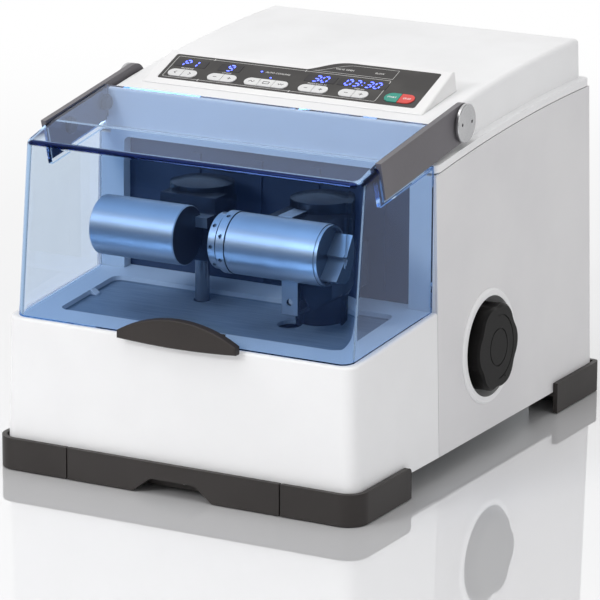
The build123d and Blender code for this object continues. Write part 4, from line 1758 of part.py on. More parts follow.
def build_mains_inlet():
    """Mains inlet module: one flange with the shrouded mouth, three blades and the rocker's well."""
    y1 = rear_face(INLET_Z)
    half_w = INLET_WIDTH / 2
    half_h = INLET_HEIGHT / 2
    well_half = SWITCH_WIDTH / 2 + SWITCH_FRAME - SEAT_GAP
    body = block(SWITCH_X - well_half - INLET_FLANGE, INLET_X + half_w + INLET_FLANGE, y1 + SEAT_GAP,
                 y1 + INLET_FLANGE, INLET_Z - half_h - INLET_FLANGE, INLET_Z + half_h + INLET_FLANGE)
    body += block(INLET_X - half_w + SEAT_GAP, INLET_X + half_w - SEAT_GAP, y1 - INLET_BODY_DEPTH,
                  y1 + INLET_FLANGE / 2, INLET_Z - half_h + SEAT_GAP, INLET_Z + half_h - SEAT_GAP)
    body += block(SWITCH_X - well_half, SWITCH_X + well_half, y1 - INLET_BODY_DEPTH, y1 + INLET_FLANGE / 2,
                  INLET_Z - half_h + SEAT_GAP, INLET_Z + half_h - SEAT_GAP)
    mouth = RectangleRounded(INLET_MOUTH_WIDTH, INLET_MOUTH_HEIGHT, INLET_MOUTH_RADIUS)
    cutter = extrude(Plane.XZ * Pos(INLET_X, INLET_Z) * mouth, amount=-INLET_MOUTH_DEPTH * 2)
    body -= Pos(0, y1 + INLET_FLANGE - INLET_MOUTH_DEPTH, 0) * cutter
    root = y1 + INLET_FLANGE - INLET_MOUTH_DEPTH - CUT_OVERRUN
    for i in (-1, 0, 1):
        x = INLET_X + i * INLET_PIN_PITCH
        z = INLET_Z + (abs(i) - 1 / 2) * INLET_PIN_HEIGHT
        body += block(x - INLET_PIN_WIDTH / 2, x + INLET_PIN_WIDTH / 2, root, root + INLET_PIN_LENGTH,
                      z - INLET_PIN_HEIGHT / 2, z + INLET_PIN_HEIGHT / 2)
    gap = SWITCH_GAP
    reach = SWITCH_HEIGHT / 2 + SWITCH_FRAME / 2
    body -= block(SWITCH_X - SWITCH_WIDTH / 2 - gap, SWITCH_X + SWITCH_WIDTH / 2 + gap,
                  y1 - SWITCH_DEPTH - SWITCH_FRAME, y1 + INLET_FLANGE + CUT_OVERRUN, INLET_Z - reach,
                  INLET_Z + reach)
    y, z = switch_pivot()
    return body - bar_x(SWITCH_X - well_half + gap, SWITCH_X + well_half - gap, y, z,
                        SWITCH_PIN_RADIUS + RUNNING_GAP)


def switch_pivot():
    """Depth and height of the rocker's pivot."""
    return rear_face(INLET_Z) + INLET_FLANGE - SWITCH_DEPTH / 2, INLET_Z


def build_power_switch():
    """Rocker of the mains switch, tilted to its off side."""
    y, z = switch_pivot()
    half = SWITCH_HEIGHT / 2
    depth = SWITCH_DEPTH / 2
    face = make_face([
        Polyline((-depth / 2, -half), (depth, -half)),
        ThreePointArc((depth, -half), (depth * SWITCH_DISH_SHARE, 0), (depth, half)),
        Polyline((depth, half), (-depth / 2, half)),
        ThreePointArc((-depth / 2, half), (-depth, 0), (-depth / 2, -half)),
    ])
    body = Pos(-SWITCH_WIDTH / 2, 0, 0) * extrude(Plane.YZ * face, amount=SWITCH_WIDTH, dir=(1, 0, 0))
    pin = SWITCH_WIDTH / 2 + SWITCH_FRAME / 2
    body += bar_x(-pin, pin, 0, 0, SWITCH_PIN_RADIUS)
    return Pos(SWITCH_X, y, z) * Rot(SWITCH_TILT_DEG, 0, 0) * body


def build_nitrogen_inlet():
    """Liquid nitrogen connector: flange, hexagon, stub and inner tail, bored through."""
    y1 = rear_face(NITROGEN_Z)
    x = NITROGEN_X
    z = NITROGEN_Z
    flange_y = y1 + NITROGEN_FLANGE_THICKNESS
    body = bar_y(y1 + SEAT_GAP, flange_y, x, z, NITROGEN_FLANGE_RADIUS)
    hexagon = Plane.XZ * Pos(x, z) * RegularPolygon(NITROGEN_HEX_RADIUS, 6)
    body += Pos(0, flange_y, 0) * extrude(hexagon, amount=-NITROGEN_HEX_LENGTH)
    end = REAR_Y + REAR_REACH
    body += bar_y(y1 - NITROGEN_TAIL, end, x, z, NITROGEN_STUB_RADIUS)
    return body - bar_y(y1 - NITROGEN_TAIL - CUT_OVERRUN, end + CUT_OVERRUN, x, z, NITROGEN_BORE_RADIUS)


def build_exhaust_outlet():
    """Gas outlet: flanged pipe stub."""
    y1 = rear_face(EXHAUST_Z)
    x = EXHAUST_X
    z = EXHAUST_Z
    body = bar_y(y1 + SEAT_GAP, y1 + EXHAUST_FLANGE_THICKNESS, x, z, EXHAUST_FLANGE_RADIUS)
    body += bar_y(y1 - EXHAUST_LENGTH, y1 + EXHAUST_LENGTH, x, z, EXHAUST_RADIUS)
    return body - bar_y(y1 - EXHAUST_LENGTH - CUT_OVERRUN, y1 + EXHAUST_LENGTH + CUT_OVERRUN, x, z,
                        EXHAUST_BORE_RADIUS)


def pair(solid):
    """A piece and its mirror image."""
    return Compound(children=[solid, mirrored(solid)])


def build_all():
    """Every node by name."""
    nodes = {
        "base_plate": build_base_plate(),
        "foot_pads": build_foot_pads(),
        "skirt_corners": pair(build_skirt_corner()),
        "rear_feet": pair(build_rear_foot()),
        "front_shell": build_front_shell(),
        "chamber_surround": build_chamber_surround(),
        "chamber_bulkhead": build_chamber_bulkhead(),
        "side_panel_left": mirrored(build_side_panel()),
        "side_panel_right": build_side_panel_right(),
        "rear_panel": build_rear_panel(),
        "top_cover": build_top_cover(),
        "control_console": build_control_console(),
        "control_overlay": build_control_overlay(),
        "display_windows": build_display_windows(),
        "control_board": build_control_board(),
        "knob_bezel": build_knob_bezel(),
        "side_knob": build_side_knob(),
        "bearing_frame": build_bearing_frame(),
        "shaft_bearings": build_shaft_bearings(),
        "guide_rods": build_guide_rods(),
        "drive_motor": build_drive_motor(),
        "motor_pulley": build_motor_pulley(),
        "drive_belt": build_drive_belt(),
        "crank_shaft": build_crank_shaft(),
        "drive_yoke": build_drive_yoke(),
        "jar_rocker_shaft": build_jar_rocker_shaft(),
        "jar_column": build_jar_column(),
        "jar_cradle": build_jar_cradle(),
        "cooling_sleeve": build_cooling_sleeve(),
        "grinding_jar": build_grinding_jar(),
        "jar_screw_cap": build_jar_screw_cap(),
        "grinding_ball": build_grinding_ball(),
        "counter_rocker_shaft": build_counter_rocker_shaft(),
        "counter_column": build_counter_column(),
        "counterweight": build_counterweight(),
        "hood_window": build_hood_window(),
        "hood_arms": pair(build_hood_arm()),
        "hood_screws": build_hood_screws(),
        "hood_handle": build_hood_handle(),
        "pivot_pins": pair(build_pivot_pin()),
        "accessory_drawer": build_accessory_drawer(),
        "cooling_fan": build_cooling_fan(),
        "fan_rotor": build_fan_rotor(),
        "mains_inlet": build_mains_inlet(),
        "power_switch": build_power_switch(),
        "nitrogen_inlet": build_nitrogen_inlet(),
    }
    nodes["exhaust_outlet"] = build_exhaust_outlet()
    for place in key_places():
        nodes["key_" + place[0]] = build_key(place)
    return nodes


def main():
    """Write one STEP file for each node."""
    os.makedirs("parts", exist_ok=True)
    for name, solid in build_all().items():
        export_step(solid, os.path.join("parts", name + ".step"))


main()
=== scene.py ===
"""Looks of the mixer mill: finishes, panel print, lit digits, key marks, catch cap and studio."""

import logging
import math
from dataclasses import dataclass, field
from enum import Enum
from functools import cache

import bpy
import numpy as np
from mathutils import Matrix, Vector


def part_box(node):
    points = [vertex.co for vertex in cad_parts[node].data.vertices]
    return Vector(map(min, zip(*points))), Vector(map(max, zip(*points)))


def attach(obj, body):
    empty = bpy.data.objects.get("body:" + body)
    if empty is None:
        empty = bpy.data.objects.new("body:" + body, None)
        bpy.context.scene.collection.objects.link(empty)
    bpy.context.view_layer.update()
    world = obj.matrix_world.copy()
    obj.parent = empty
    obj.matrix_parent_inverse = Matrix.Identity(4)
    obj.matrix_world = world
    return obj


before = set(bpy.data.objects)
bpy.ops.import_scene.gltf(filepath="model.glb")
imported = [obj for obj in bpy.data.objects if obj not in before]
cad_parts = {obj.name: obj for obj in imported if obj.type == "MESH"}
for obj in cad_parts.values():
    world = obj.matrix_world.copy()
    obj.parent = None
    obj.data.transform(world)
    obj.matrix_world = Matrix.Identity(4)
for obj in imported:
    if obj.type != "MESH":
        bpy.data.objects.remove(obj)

LOG = logging.getLogger("mixer_mill")
MM = 0.001
Colour = tuple[float, float, float]
Triple = tuple[float, float, float]
Pair = tuple[float, float]
Socket = bpy.types.NodeSocket
Sockets = bpy.types.bpy_prop_collection
Tree = bpy.types.NodeTree

# Sockets of the Mix node that carry colours: share, first and second colour, and the result.
MIX_INPUTS = (0, 6, 7)
MIX_RESULT = 2
WHITE = (1.0, 1.0, 1.0)


def srgb(code: str) -> Colour:
    """Linear colour of a six figure hex code.

    Args:
        code: Red, green and blue as two hex figures each.

    Returns:
        The three linear channels.
    """
    parts = [int(code[i:i + 2], 16) / 255 for i in (0, 2, 4)]
    return tuple(p / 12.92 if p <= 0.04045 else ((p + 0.055) / 1.055) ** 2.4 for p in parts)


# Node graphs


class Graph:
    """A node tree while it is being wired."""

    def __init__(self, tree: Tree) -> None:
        """Keep the tree that the nodes go into."""
        self.tree = tree

    @classmethod
    def of(cls, owner: bpy.types.ID) -> "Graph":
        """Empty the node tree of a material or world and take it up.

        Args:
            owner: The material or world.

        Returns:
            The graph of its tree.
        """
        owner.use_nodes = True
        owner.node_tree.nodes.clear()
        return cls(owner.node_tree)

    def add(self, kind: str, *first: object, setup: dict[str, object] | None = None,
            **named: object) -> Sockets:
        """Add one node and set or link its inputs.

        Args:
            kind: Blender's node type name without the word ShaderNode.
            first: Values or outputs for its first inputs, in order.
            setup: Plain properties of the node.
            named: Values or outputs for inputs by name, with _ for a space.

        Returns:
            The outputs of the new node.
        """
        node = self.tree.nodes.new("ShaderNode" + kind)
        for key, value in (setup or {}).items():
            setattr(node, key, value)
        for socket, value in zip(node.inputs, first):
            self.put(socket, value)
        for key, value in named.items():
            self.put(node.inputs[key.replace("_", " ")], value)
        return node.outputs

    def join(self, source: Socket, target: Socket) -> None:
        """Link one output to one input."""
        self.tree.links.new(source, target)

    def put(self, target: Socket, value: object) -> None:
        """Link or set an input, whichever the value calls for.

        Args:
            target: The input socket.
            value: An output socket, a number or a tuple.
        """
        if isinstance(value, Socket):
            self.join(value, target)
        elif isinstance(value, tuple) and len(value) == 3 and target.type == "RGBA":
            target.default_value = (*value, 1.0)
        else:
            target.default_value = value

    def calc(self, operation: str, *terms: object) -> Socket:
        """One step of arithmetic on one to three numbers or outputs."""
        return self.add("Math", *terms, setup={"operation": operation})[0]

    def product(self, first: Socket, *others: object) -> Socket:
        """Product of an output and other numbers or outputs.

        Args:
            first: The first factor.
            others: The other factors.

        Returns:
            The output of the last Math node.
        """
        for other in others:
            first = self.calc("MULTIPLY", first, other)
        return first

    def inverse(self, value: object) -> Socket:
        """One minus a value."""
        return self.calc("SUBTRACT", 1.0, value)

    def length(self, first: Socket, second: Socket) -> Socket:
        """Root of the sum of two squares."""
        squares = [self.product(side, side) for side in (first, second)]
        return self.calc("SQRT", self.calc("ADD", *squares))

    def ramp(self, value: object, low: float, high: float) -> Socket:
        """Smooth step that goes from 0 at low to 1 at high.

        Args:
            value: Output that is stepped.
            low: Where the result leaves 0.
            high: Where the result reaches 1.

        Returns:
            The stepped output.
        """
        return self.add("MapRange", setup={"interpolation_type": "SMOOTHSTEP"}, Value=value,
                        From_Min=low, From_Max=high)[0]

    def blend(self, share: object, first: object, second: object) -> Socket:
        """Colour mix of first and second.

        Args:
            share: How much of second shows.
            first: Colour at share 0.
            second: Colour at share 1.

        Returns:
            The mixed colour output.
        """
        node = self.tree.nodes.new("ShaderNodeMix")
        node.data_type = "RGBA"
        for index, value in zip(MIX_INPUTS, (share, first, second)):
            self.put(node.inputs[index], value)
        return node.outputs[MIX_RESULT]

    def place(self, kind: str = "Object") -> Socket:
        """Texture coordinates of one kind: Object, Normal or Generated."""
        return self.add("TexCoord")[kind]

    def axes(self, kind: str = "Object") -> tuple[Socket, ...]:
        """The single x, y and z of one kind of coordinates."""
        return tuple(self.add("SeparateXYZ", self.place(kind)))

    def noise(self, scale: object, detail: float, place: Socket | None = None) -> Socket:
        """Noise over the object's own coordinates, or over another place.

        Args:
            scale: Number or output for its scale.
            detail: How many finer layers it has.
            place: Place that is read instead of the object's coordinates.

        Returns:
            The noise from 0 to 1.
        """
        return self.add("TexNoise", self.place() if place is None else place, Scale=scale,
                        Detail=detail)["Fac"]


class Effects:
    """Surface effects that several finishes share, each a node group made once."""

    MIDDLE = (0.3, 0.7)
    NOISE_MEAN = 0.5
    DRIFT_DETAIL = 4.0
    GRAIN_DETAIL = 3.0
    SPECKS = (0.35, 0.75)
    SPECK_SHARE = 0.3
    LINE_DETAIL = 2.0
    UPWARD = (0.55, 1.0)
    FILM_SCALE = 23.0
    FILM_DETAIL = 6.0
    FILM = (0.4, 0.75)

    @staticmethod
    def _open(name: str, takes: dict[str, str],
              gives: dict[str, str]) -> tuple[Tree, Graph, Sockets, Sockets]:
        """Start a node group with its inputs and outputs.

        Args:
            name: Name of the group.
            takes: Kind of each input by its name.
            gives: Kind of each output by its name.

        Returns:
            The tree, its graph, the sockets that bring its inputs and those that take its outputs.
        """
        tree = bpy.data.node_groups.new(name, "ShaderNodeTree")
        for way, sockets in (("INPUT", takes), ("OUTPUT", gives)):
            for label, kind in sockets.items():
                tree.interface.new_socket(label, in_out=way, socket_type="NodeSocket" + kind)
        ins, outs = tree.nodes.new("NodeGroupInput"), tree.nodes.new("NodeGroupOutput")
        return tree, Graph(tree), ins.outputs, outs.inputs

    @classmethod
    @cache
    def moulding(cls) -> Tree:
        """Slow colour drift, fine grain and uneven gloss of a moulded or sprayed surface.

        Returns:
            The node group.
        """
        tree, g, ins, outs = cls._open(
            "moulding_surface",
            {"Colour": "Color", "Shade": "Color", "Drift Scale": "Float", "Grain Scale": "Float",
             "Roughness": "Float", "Gloss Spread": "Float"},
            {"Colour": "Color", "Roughness": "Float", "Height": "Float"})
        drift = g.noise(ins["Drift Scale"], cls.DRIFT_DETAIL)
        grain = g.noise(ins["Grain Scale"], cls.GRAIN_DETAIL)
        specks = g.product(g.ramp(grain, *cls.SPECKS), cls.SPECK_SHARE)
        share = g.calc("MULTIPLY_ADD", g.ramp(drift, *cls.MIDDLE), 1.0 - cls.SPECK_SHARE, specks)
        g.join(g.blend(share, ins["Colour"], ins["Shade"]), outs["Colour"])
        uneven = g.calc("SUBTRACT", drift, cls.NOISE_MEAN)
        g.join(g.calc("MULTIPLY_ADD", uneven, ins["Gloss Spread"], ins["Roughness"]), outs["Roughness"])
        g.join(grain, outs["Height"])
        return tree

    @classmethod
    @cache
    def turning(cls) -> Tree:
        """Fine lathe lines round an axis along x: noise of x plus the distance from the axis.

        Returns:
            The node group.
        """
        tree, g, ins, outs = cls._open(
            "turned_lines", {"Axis Y": "Float", "Axis Z": "Float", "Lines": "Float"},
            {"Tone": "Float", "Height": "Float"})
        x, y, z = g.axes()
        radius = g.length(g.calc("SUBTRACT", y, ins["Axis Y"]), g.calc("SUBTRACT", z, ins["Axis Z"]))
        line = g.add("TexNoise", setup={"noise_dimensions": "1D"}, Scale=1.0, Detail=cls.LINE_DETAIL,
                     W=g.product(g.calc("ADD", x, radius), ins["Lines"]))["Fac"]
        g.join(line, outs["Tone"])
        g.join(line, outs["Height"])
        return tree

    @classmethod
    @cache
    def dust(cls) -> Tree:
        """Faint uneven film on faces that look up: the upward share of the normal times slow noise.

        Returns:
            The node group.
        """
        tree, g, ins, outs = cls._open(
            "settled_dust", {"Colour": "Color", "Dust": "Color", "Amount": "Float"}, {"Colour": "Color"})
        upward = g.ramp(g.axes("Normal")[2], *cls.UPWARD)
        film = g.ramp(g.noise(cls.FILM_SCALE, cls.FILM_DETAIL), *cls.FILM)
        share = g.product(upward, film, ins["Amount"])
        g.join(g.blend(share, ins["Colour"], ins["Dust"]), outs["Colour"])
        return tree


# Finishes


@dataclass(frozen=True)
class Finish:
    """What every finish has: its name in the file."""

    name: str

    @cache
    def material(self) -> bpy.types.Material:
        """The finish's material, made the first time it is asked for.

        Returns:
            The material.
        """
        made = bpy.data.materials.new("finish_" + self.name)
        g = Graph.of(made)
        g.add("OutputMaterial", Surface=self.shader(g))
        return made

    def shader(self, g: Graph) -> Socket:
        """The shader that the material shows; each kind of finish has its own."""
        raise NotImplementedError

@dataclass(frozen=True)
class Toned(Finish):
    """Finish whose colour drifts between two tones under a fine grain."""

    colour: str
    shade: str
    roughness: float = 0.42
    spread: float = 0.08
    grain: float = 2200.0
    drift: float = 9.0

    def face(self, g: Graph) -> Sockets:
        """The moulding effect with this finish's values.

        Args:
            g: Graph of the material.

        Returns:
            Its outputs Colour, Roughness and Height.
        """
        return g.add("Group", setup={"node_tree": Effects.moulding()}, Colour=srgb(self.colour),
                     Shade=srgb(self.shade), Drift_Scale=self.drift, Grain_Scale=self.grain,
                     Roughness=self.roughness, Gloss_Spread=self.spread)


@dataclass(frozen=True)
class Moulded(Toned):
    """Plastic, lacquer, rubber or plain metal: grain, slow drift of tone and a film of dust on top."""

    depth: float = 0.00002
    dust: float = 0.06
    dust_colour: str = "b9b6b0"
    metal: float = 0.0
    specular: float = 0.5

    def shader(self, g: Graph) -> Socket:
        """Principled shader with the moulding and dust effects.

        Args:
            g: Graph of the material.

        Returns:
            The shader output.
        """
        face = self.face(g)
        film = g.add("Group", setup={"node_tree": Effects.dust()}, Colour=face["Colour"],
                     Dust=srgb(self.dust_colour), Amount=self.dust)
        relief = g.add("Bump", Strength=1.0, Distance=self.depth, Height=face["Height"])
        return g.add("BsdfPrincipled", Base_Color=self.tone(g, film["Colour"]), Metallic=self.metal,
                     Roughness=face["Roughness"], Specular_IOR_Level=self.specular,
                     Normal=relief[0])[0]

    def tone(self, g: Graph, colour: Socket) -> Socket:
        """Colour that the surface shows; a kind of moulding may change it by place."""
        return colour


@dataclass(frozen=True)
class TrayMoulding(Moulded):
    """White moulding whose sunken tray has a darker brushed liner."""

    liner: str = "98a3ae"
    liner_streak: str = "87929e"
    half_width: float = 0.1521
    front: float = -0.2406
    rear: float = -0.1344
    floor_front: Pair = (-0.2755, 0.150)
    floor_rise: float = 0.085
    below: float = 0.004
    feather: float = 0.001
    brushing: Triple = (30.0, 900.0, 30.0)
    brushing_detail: float = 3.0

    def tone(self, g: Graph, colour: Socket) -> Socket:
        """Liner colour inside the tray's oblong and below the sloping floor, the moulding's elsewhere.

        Args:
            g: Graph of the material.
            colour: The moulding's own colour.

        Returns:
            The colour output for the shader.
        """
        x, y, z = g.axes()
        floor = g.calc("MULTIPLY_ADD", g.calc("SUBTRACT", y, self.floor_front[0]), self.floor_rise,
                       self.floor_front[1])
        sunken = g.ramp(g.calc("SUBTRACT", floor, z), self.below, self.below + self.feather)
        beside = g.ramp(g.calc("ABSOLUTE", x), self.half_width, self.half_width + self.feather)
        past_front = g.ramp(y, self.front - self.feather, self.front)
        past_rear = g.ramp(y, self.rear, self.rear + self.feather)
        inside = g.product(sunken, g.inverse(beside), past_front, g.inverse(past_rear))
        stretched = g.add("Mapping", g.place(), Scale=self.brushing)[0]
        streaks = g.ramp(g.noise(1.0, self.brushing_detail, stretched), *Effects.MIDDLE)
        return g.blend(inside, colour, g.blend(streaks, srgb(self.liner), srgb(self.liner_streak)))


@dataclass(frozen=True)
class Turned(Toned):
    """Machined metal with lathe lines round an axis along x; painted shade may darken its right end
    faces.
    """

    axis: Pair = (0.0, 0.0)
    roughness: float = 0.34
    spread: float = 0.1
    grain: float = 5200.0
    drift: float = 14.0
    lines: float = 2600.0
    line_band: Pair = (0.35, 0.7)
    line_share: float = 0.35
    grain_share: float = 0.5
    depth: float = 0.000012
    # painted shade: dark colour laid on the faces that look along +x, the right end faces
    end: str = "20242c"
    end_shade_band: Pair = (0.75, 0.95)
    end_shade_share: float = 0.0

    def shader(self, g: Graph) -> Socket:
        """Metal shader whose tone, gloss and relief follow the lathe lines.

        Args:
            g: Graph of the material.

        Returns:
            The shader output.
        """
        turned = g.add("Group", setup={"node_tree": Effects.turning()}, Axis_Y=self.axis[0],
                       Axis_Z=self.axis[1], Lines=self.lines)
        face = self.face(g)
        share = g.product(g.ramp(turned["Tone"], *self.line_band), self.line_share)
        tone = g.blend(share, face["Colour"], srgb(self.shade))
        height = g.calc("MULTIPLY_ADD", face["Height"], self.grain_share, turned["Height"])
        # painted shade on faces whose normal points along +x
        ends = g.product(g.ramp(g.axes("Normal")[0], *self.end_shade_band), self.end_shade_share)
        relief = g.add("Bump", Strength=1.0, Distance=self.depth, Height=height)
        return g.add("BsdfPrincipled", Base_Color=g.blend(ends, tone, srgb(self.end)), Metallic=1.0,
                     Roughness=face["Roughness"], Normal=relief[0])[0]


@dataclass(frozen=True)
class Clear(Finish):
    """Tinted clear plastic with painted dark shade along the front bend and the top's side edges, open to
    lamp rays.

    Each band is where its effect starts and where it is whole, in metres but for the streaks' noise.
    """

    tint: str
    # edge: colour of the painted shade laid along the front bend and the top's side edges
    edge: str
    lamp_tint: str
    fill_tint: str
    glint: str = "6f9dff"
    gloss: float = 0.08
    refraction: float = 1.46
    top_front: Pair = (-0.2565, 0.3174)
    bend_band: Pair = (0.003, 0.0044)
    side_band: Pair = (0.1773, 0.1793)
    high_band: Pair = (0.308, 0.316)
    mist_scale: float = 30.0
    mist_detail: float = 5.0
    streak_band: Pair = (0.35, 0.8)
    streak_share: float = 0.02
    roughness: float = 0.001
    spread: float = 0.004
    depth: float = 0.000004
    relief: float = 0.1

    def shader(self, g: Graph) -> Socket:
        """Principled transmission with Transparent in its place for lamp rays and rays reflected inside.

        Args:
            g: Graph of the material.

        Returns:
            The shader output.
        """
        x, y, z = g.axes()
        mist = g.noise(self.mist_scale, self.mist_detail)
        bend = g.length(g.calc("SUBTRACT", y, self.top_front[0]),
                        g.calc("SUBTRACT", z, self.top_front[1]))
        near_bend = g.inverse(g.ramp(bend, *self.bend_band))
        near_side = g.product(g.ramp(g.calc("ABSOLUTE", x), *self.side_band), g.ramp(z, *self.high_band))
        streak = g.product(g.ramp(mist, *self.streak_band), self.streak_share)
        # painted shade: the sheet turns to the edge colour at the front bend and the top's side edges,
        # plus faint random streaks of it
        edge_shade_and_streak = g.calc("MAXIMUM", g.calc("MAXIMUM", near_bend, near_side), streak)
        relief = g.add("Bump", Strength=self.relief, Distance=self.depth, Height=mist)
        shown = g.add("BsdfPrincipled", Base_Color=g.blend(edge_shade_and_streak, srgb(self.tint), srgb(self.edge)),
                      Transmission_Weight=1.0, IOR=self.refraction, Specular_IOR_Level=self.gloss,
                      Specular_Tint=srgb(self.glint), Normal=relief[0],
                      Roughness=g.calc("MULTIPLY_ADD", mist, self.spread, self.roughness))[0]
        rays = g.add("LightPath")
        for ray, tone in (("Is Reflection Ray", self.fill_tint), ("Is Shadow Ray", self.lamp_tint)):
            through = g.add("BsdfTransparent", Color=srgb(tone))[0]
            shown = g.add("MixShader", rays[ray], shown, through)[0]
        return shown


@dataclass(frozen=True)
class Lit(Toned):
    """Glowing segment or lamp: coloured light that is a little uneven."""

    roughness: float = 0.3
    spread: float = 0.1
    grain: float = 4200.0
    drift: float = 420.0
    strength: float = 4.0

    def shader(self, g: Graph) -> Socket:
        """Dark plastic with an uneven glow.

        Args:
            g: Graph of the material.

        Returns:
            The shader output.
        """
        face = self.face(g)
        return g.add("BsdfPrincipled", Base_Color=face["Colour"], Roughness=face["Roughness"],
                     Emission_Color=face["Colour"], Emission_Strength=self.strength)[0]


class Finishes(Enum):
    """The finishes of the mill by what they are."""

    SIDE_LACQUER = Moulded("side_lacquer", "e2e1e2", "dad9db", roughness=0.46, grain=1500.0,
                           depth=0.00003)
    WHITE_MOULDING = Moulded("white_moulding", "f1f1f2", "ebebec", roughness=0.38, grain=2600.0,
                             depth=0.000018, specular=0.15)
    CONSOLE_WHITE = Moulded("console_white", "efefee", "e9e8e9", roughness=0.34, grain=3000.0,
                            depth=0.000014)
    SHELL = TrayMoulding("shell_moulding", "f0f0f1", "eaeaeb", roughness=0.38, grain=2600.0,
                         depth=0.000018, specular=0.15)
    CHAMBER_WHITE = Moulded("chamber_white", "edf0f2", "e2e6ea", roughness=0.4, grain=2600.0,
                            specular=0.3)
    SKIRT = Moulded("skirt_charcoal", "3d3a39", "343130", roughness=0.42, grain=1900.0,
                    depth=0.00004, dust=0.08, specular=0.15)
    ARM = Moulded("arm_grey", "68656a", "5f5c60", roughness=0.45, grain=1700.0, depth=0.00004)
    HANDLE = Moulded("handle_brown_grey", "3e3a38", "332f2e", roughness=0.5, grain=1500.0,
                     depth=0.00006, dust=0.02, specular=0.2)
    OVERLAY = Moulded("overlay_charcoal", "363433", "302e2d", roughness=0.36, grain=3600.0,
                      depth=0.00001, specular=0.3)
    DISPLAY = Moulded("display_smoke", "29272b", "232125", roughness=0.3, grain=3000.0,
                      depth=0.000004, specular=0.3)
    KEY_WHITE = Moulded("key_white", "e3e3e2", "d6d6d7", roughness=0.4, grain=4000.0, depth=0.00001)
    KEY_GREEN = Moulded("key_green", "189a86", "128776", roughness=0.4, grain=4000.0, depth=0.00001)
    KEY_RED = Moulded("key_red", "e0473f", "cc3a36", roughness=0.4, grain=4000.0, depth=0.00001)
    KNOB = Moulded("knob_black", "151414", "1a1919", roughness=0.4, grain=1700.0, depth=0.00005,
                   dust=0.03, specular=0.1)
    # dark grey with a painted blue cast that stands in for the light through the tinted hood
    BULKHEAD = Moulded("bulkhead_dark", "3a4457", "445067", roughness=0.4, grain=1500.0, specular=0.3)
    DARK_STEEL = Moulded("dark_steel", "343a45", "262b34", roughness=0.26, grain=1600.0, metal=0.55,
                         depth=0.00001)
    # the jar line's right end faces carry painted shade
    STEEL = Turned("satin_steel", "dcdfe3", "c6cad0", axis=(-0.218, 0.2363), roughness=0.4,
                   end_shade_share=0.85)
    CAST = Moulded("cast_aluminium", "9fa2a6", "84878c", roughness=0.48, metal=0.9, grain=700.0,
                   depth=0.00012)
    GROUND = Moulded("ground_steel", "a6a9ad", "8f9297", roughness=0.25, metal=1.0, grain=3000.0)
    DISC = Turned("turned_disc", "cfcfd0", "b0b1b3", axis=(-0.0545, 0.3357), roughness=0.24,
                  lines=3400.0)
    RUBBER = Moulded("rubber_black", "1f1e1e", "292727", roughness=0.7, grain=1200.0, depth=0.00008)
    ZINC = Moulded("zinc_plate", "a4a8ab", "8b9094", roughness=0.38, metal=0.9, drift=60.0, grain=900.0)
    BOARD = Moulded("board_green", "1f5a3c", "184a31", roughness=0.35, grain=1800.0)
    MOTOR = Moulded("motor_grey", "5c6064", "4c5054", roughness=0.5, metal=0.3, grain=900.0)
    BRASS = Moulded("brass_fitting", "b39155", "9b7b45", roughness=0.3, metal=1.0, grain=2600.0)
    # the second colour is the painted shade along the hood's front bend and the top's side edges
    HOOD = Clear("hood_blue", "e9f2ff", "01021c", "ebf4fe", "b0cbe8")
    GLOW_BLUE = Lit("glow_blue", "5f72ff", "4654ff")
    INK_LIGHT = Moulded("ink_light", "d2d1cf", "c4c3c1", roughness=0.5, grain=3000.0, dust=0.0)
    INK_WHITE = Moulded("ink_white", "f2f2f1", "e6e6e5", roughness=0.5, grain=3000.0, dust=0.0)
    INK_DARK = Moulded("ink_dark", "4a4849", "3d3b3c", roughness=0.5, grain=3000.0, dust=0.0)
    CATCH = Moulded("catch_bright", "c9c9ca", "a9aaac", roughness=0.22, metal=1.0, grain=3000.0)


def coat(finish: Finishes, *nodes: str) -> None:
    """Give nodes of the frame one finish.

    Args:
        finish: The finish they get.
        nodes: Names of the nodes.
    """
    for node in nodes:
        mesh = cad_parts[node].data
        mesh.materials.clear()
        mesh.materials.append(finish.value.material())
        LOG.info("finished %s with %s", node, finish.value.name)


# New pieces


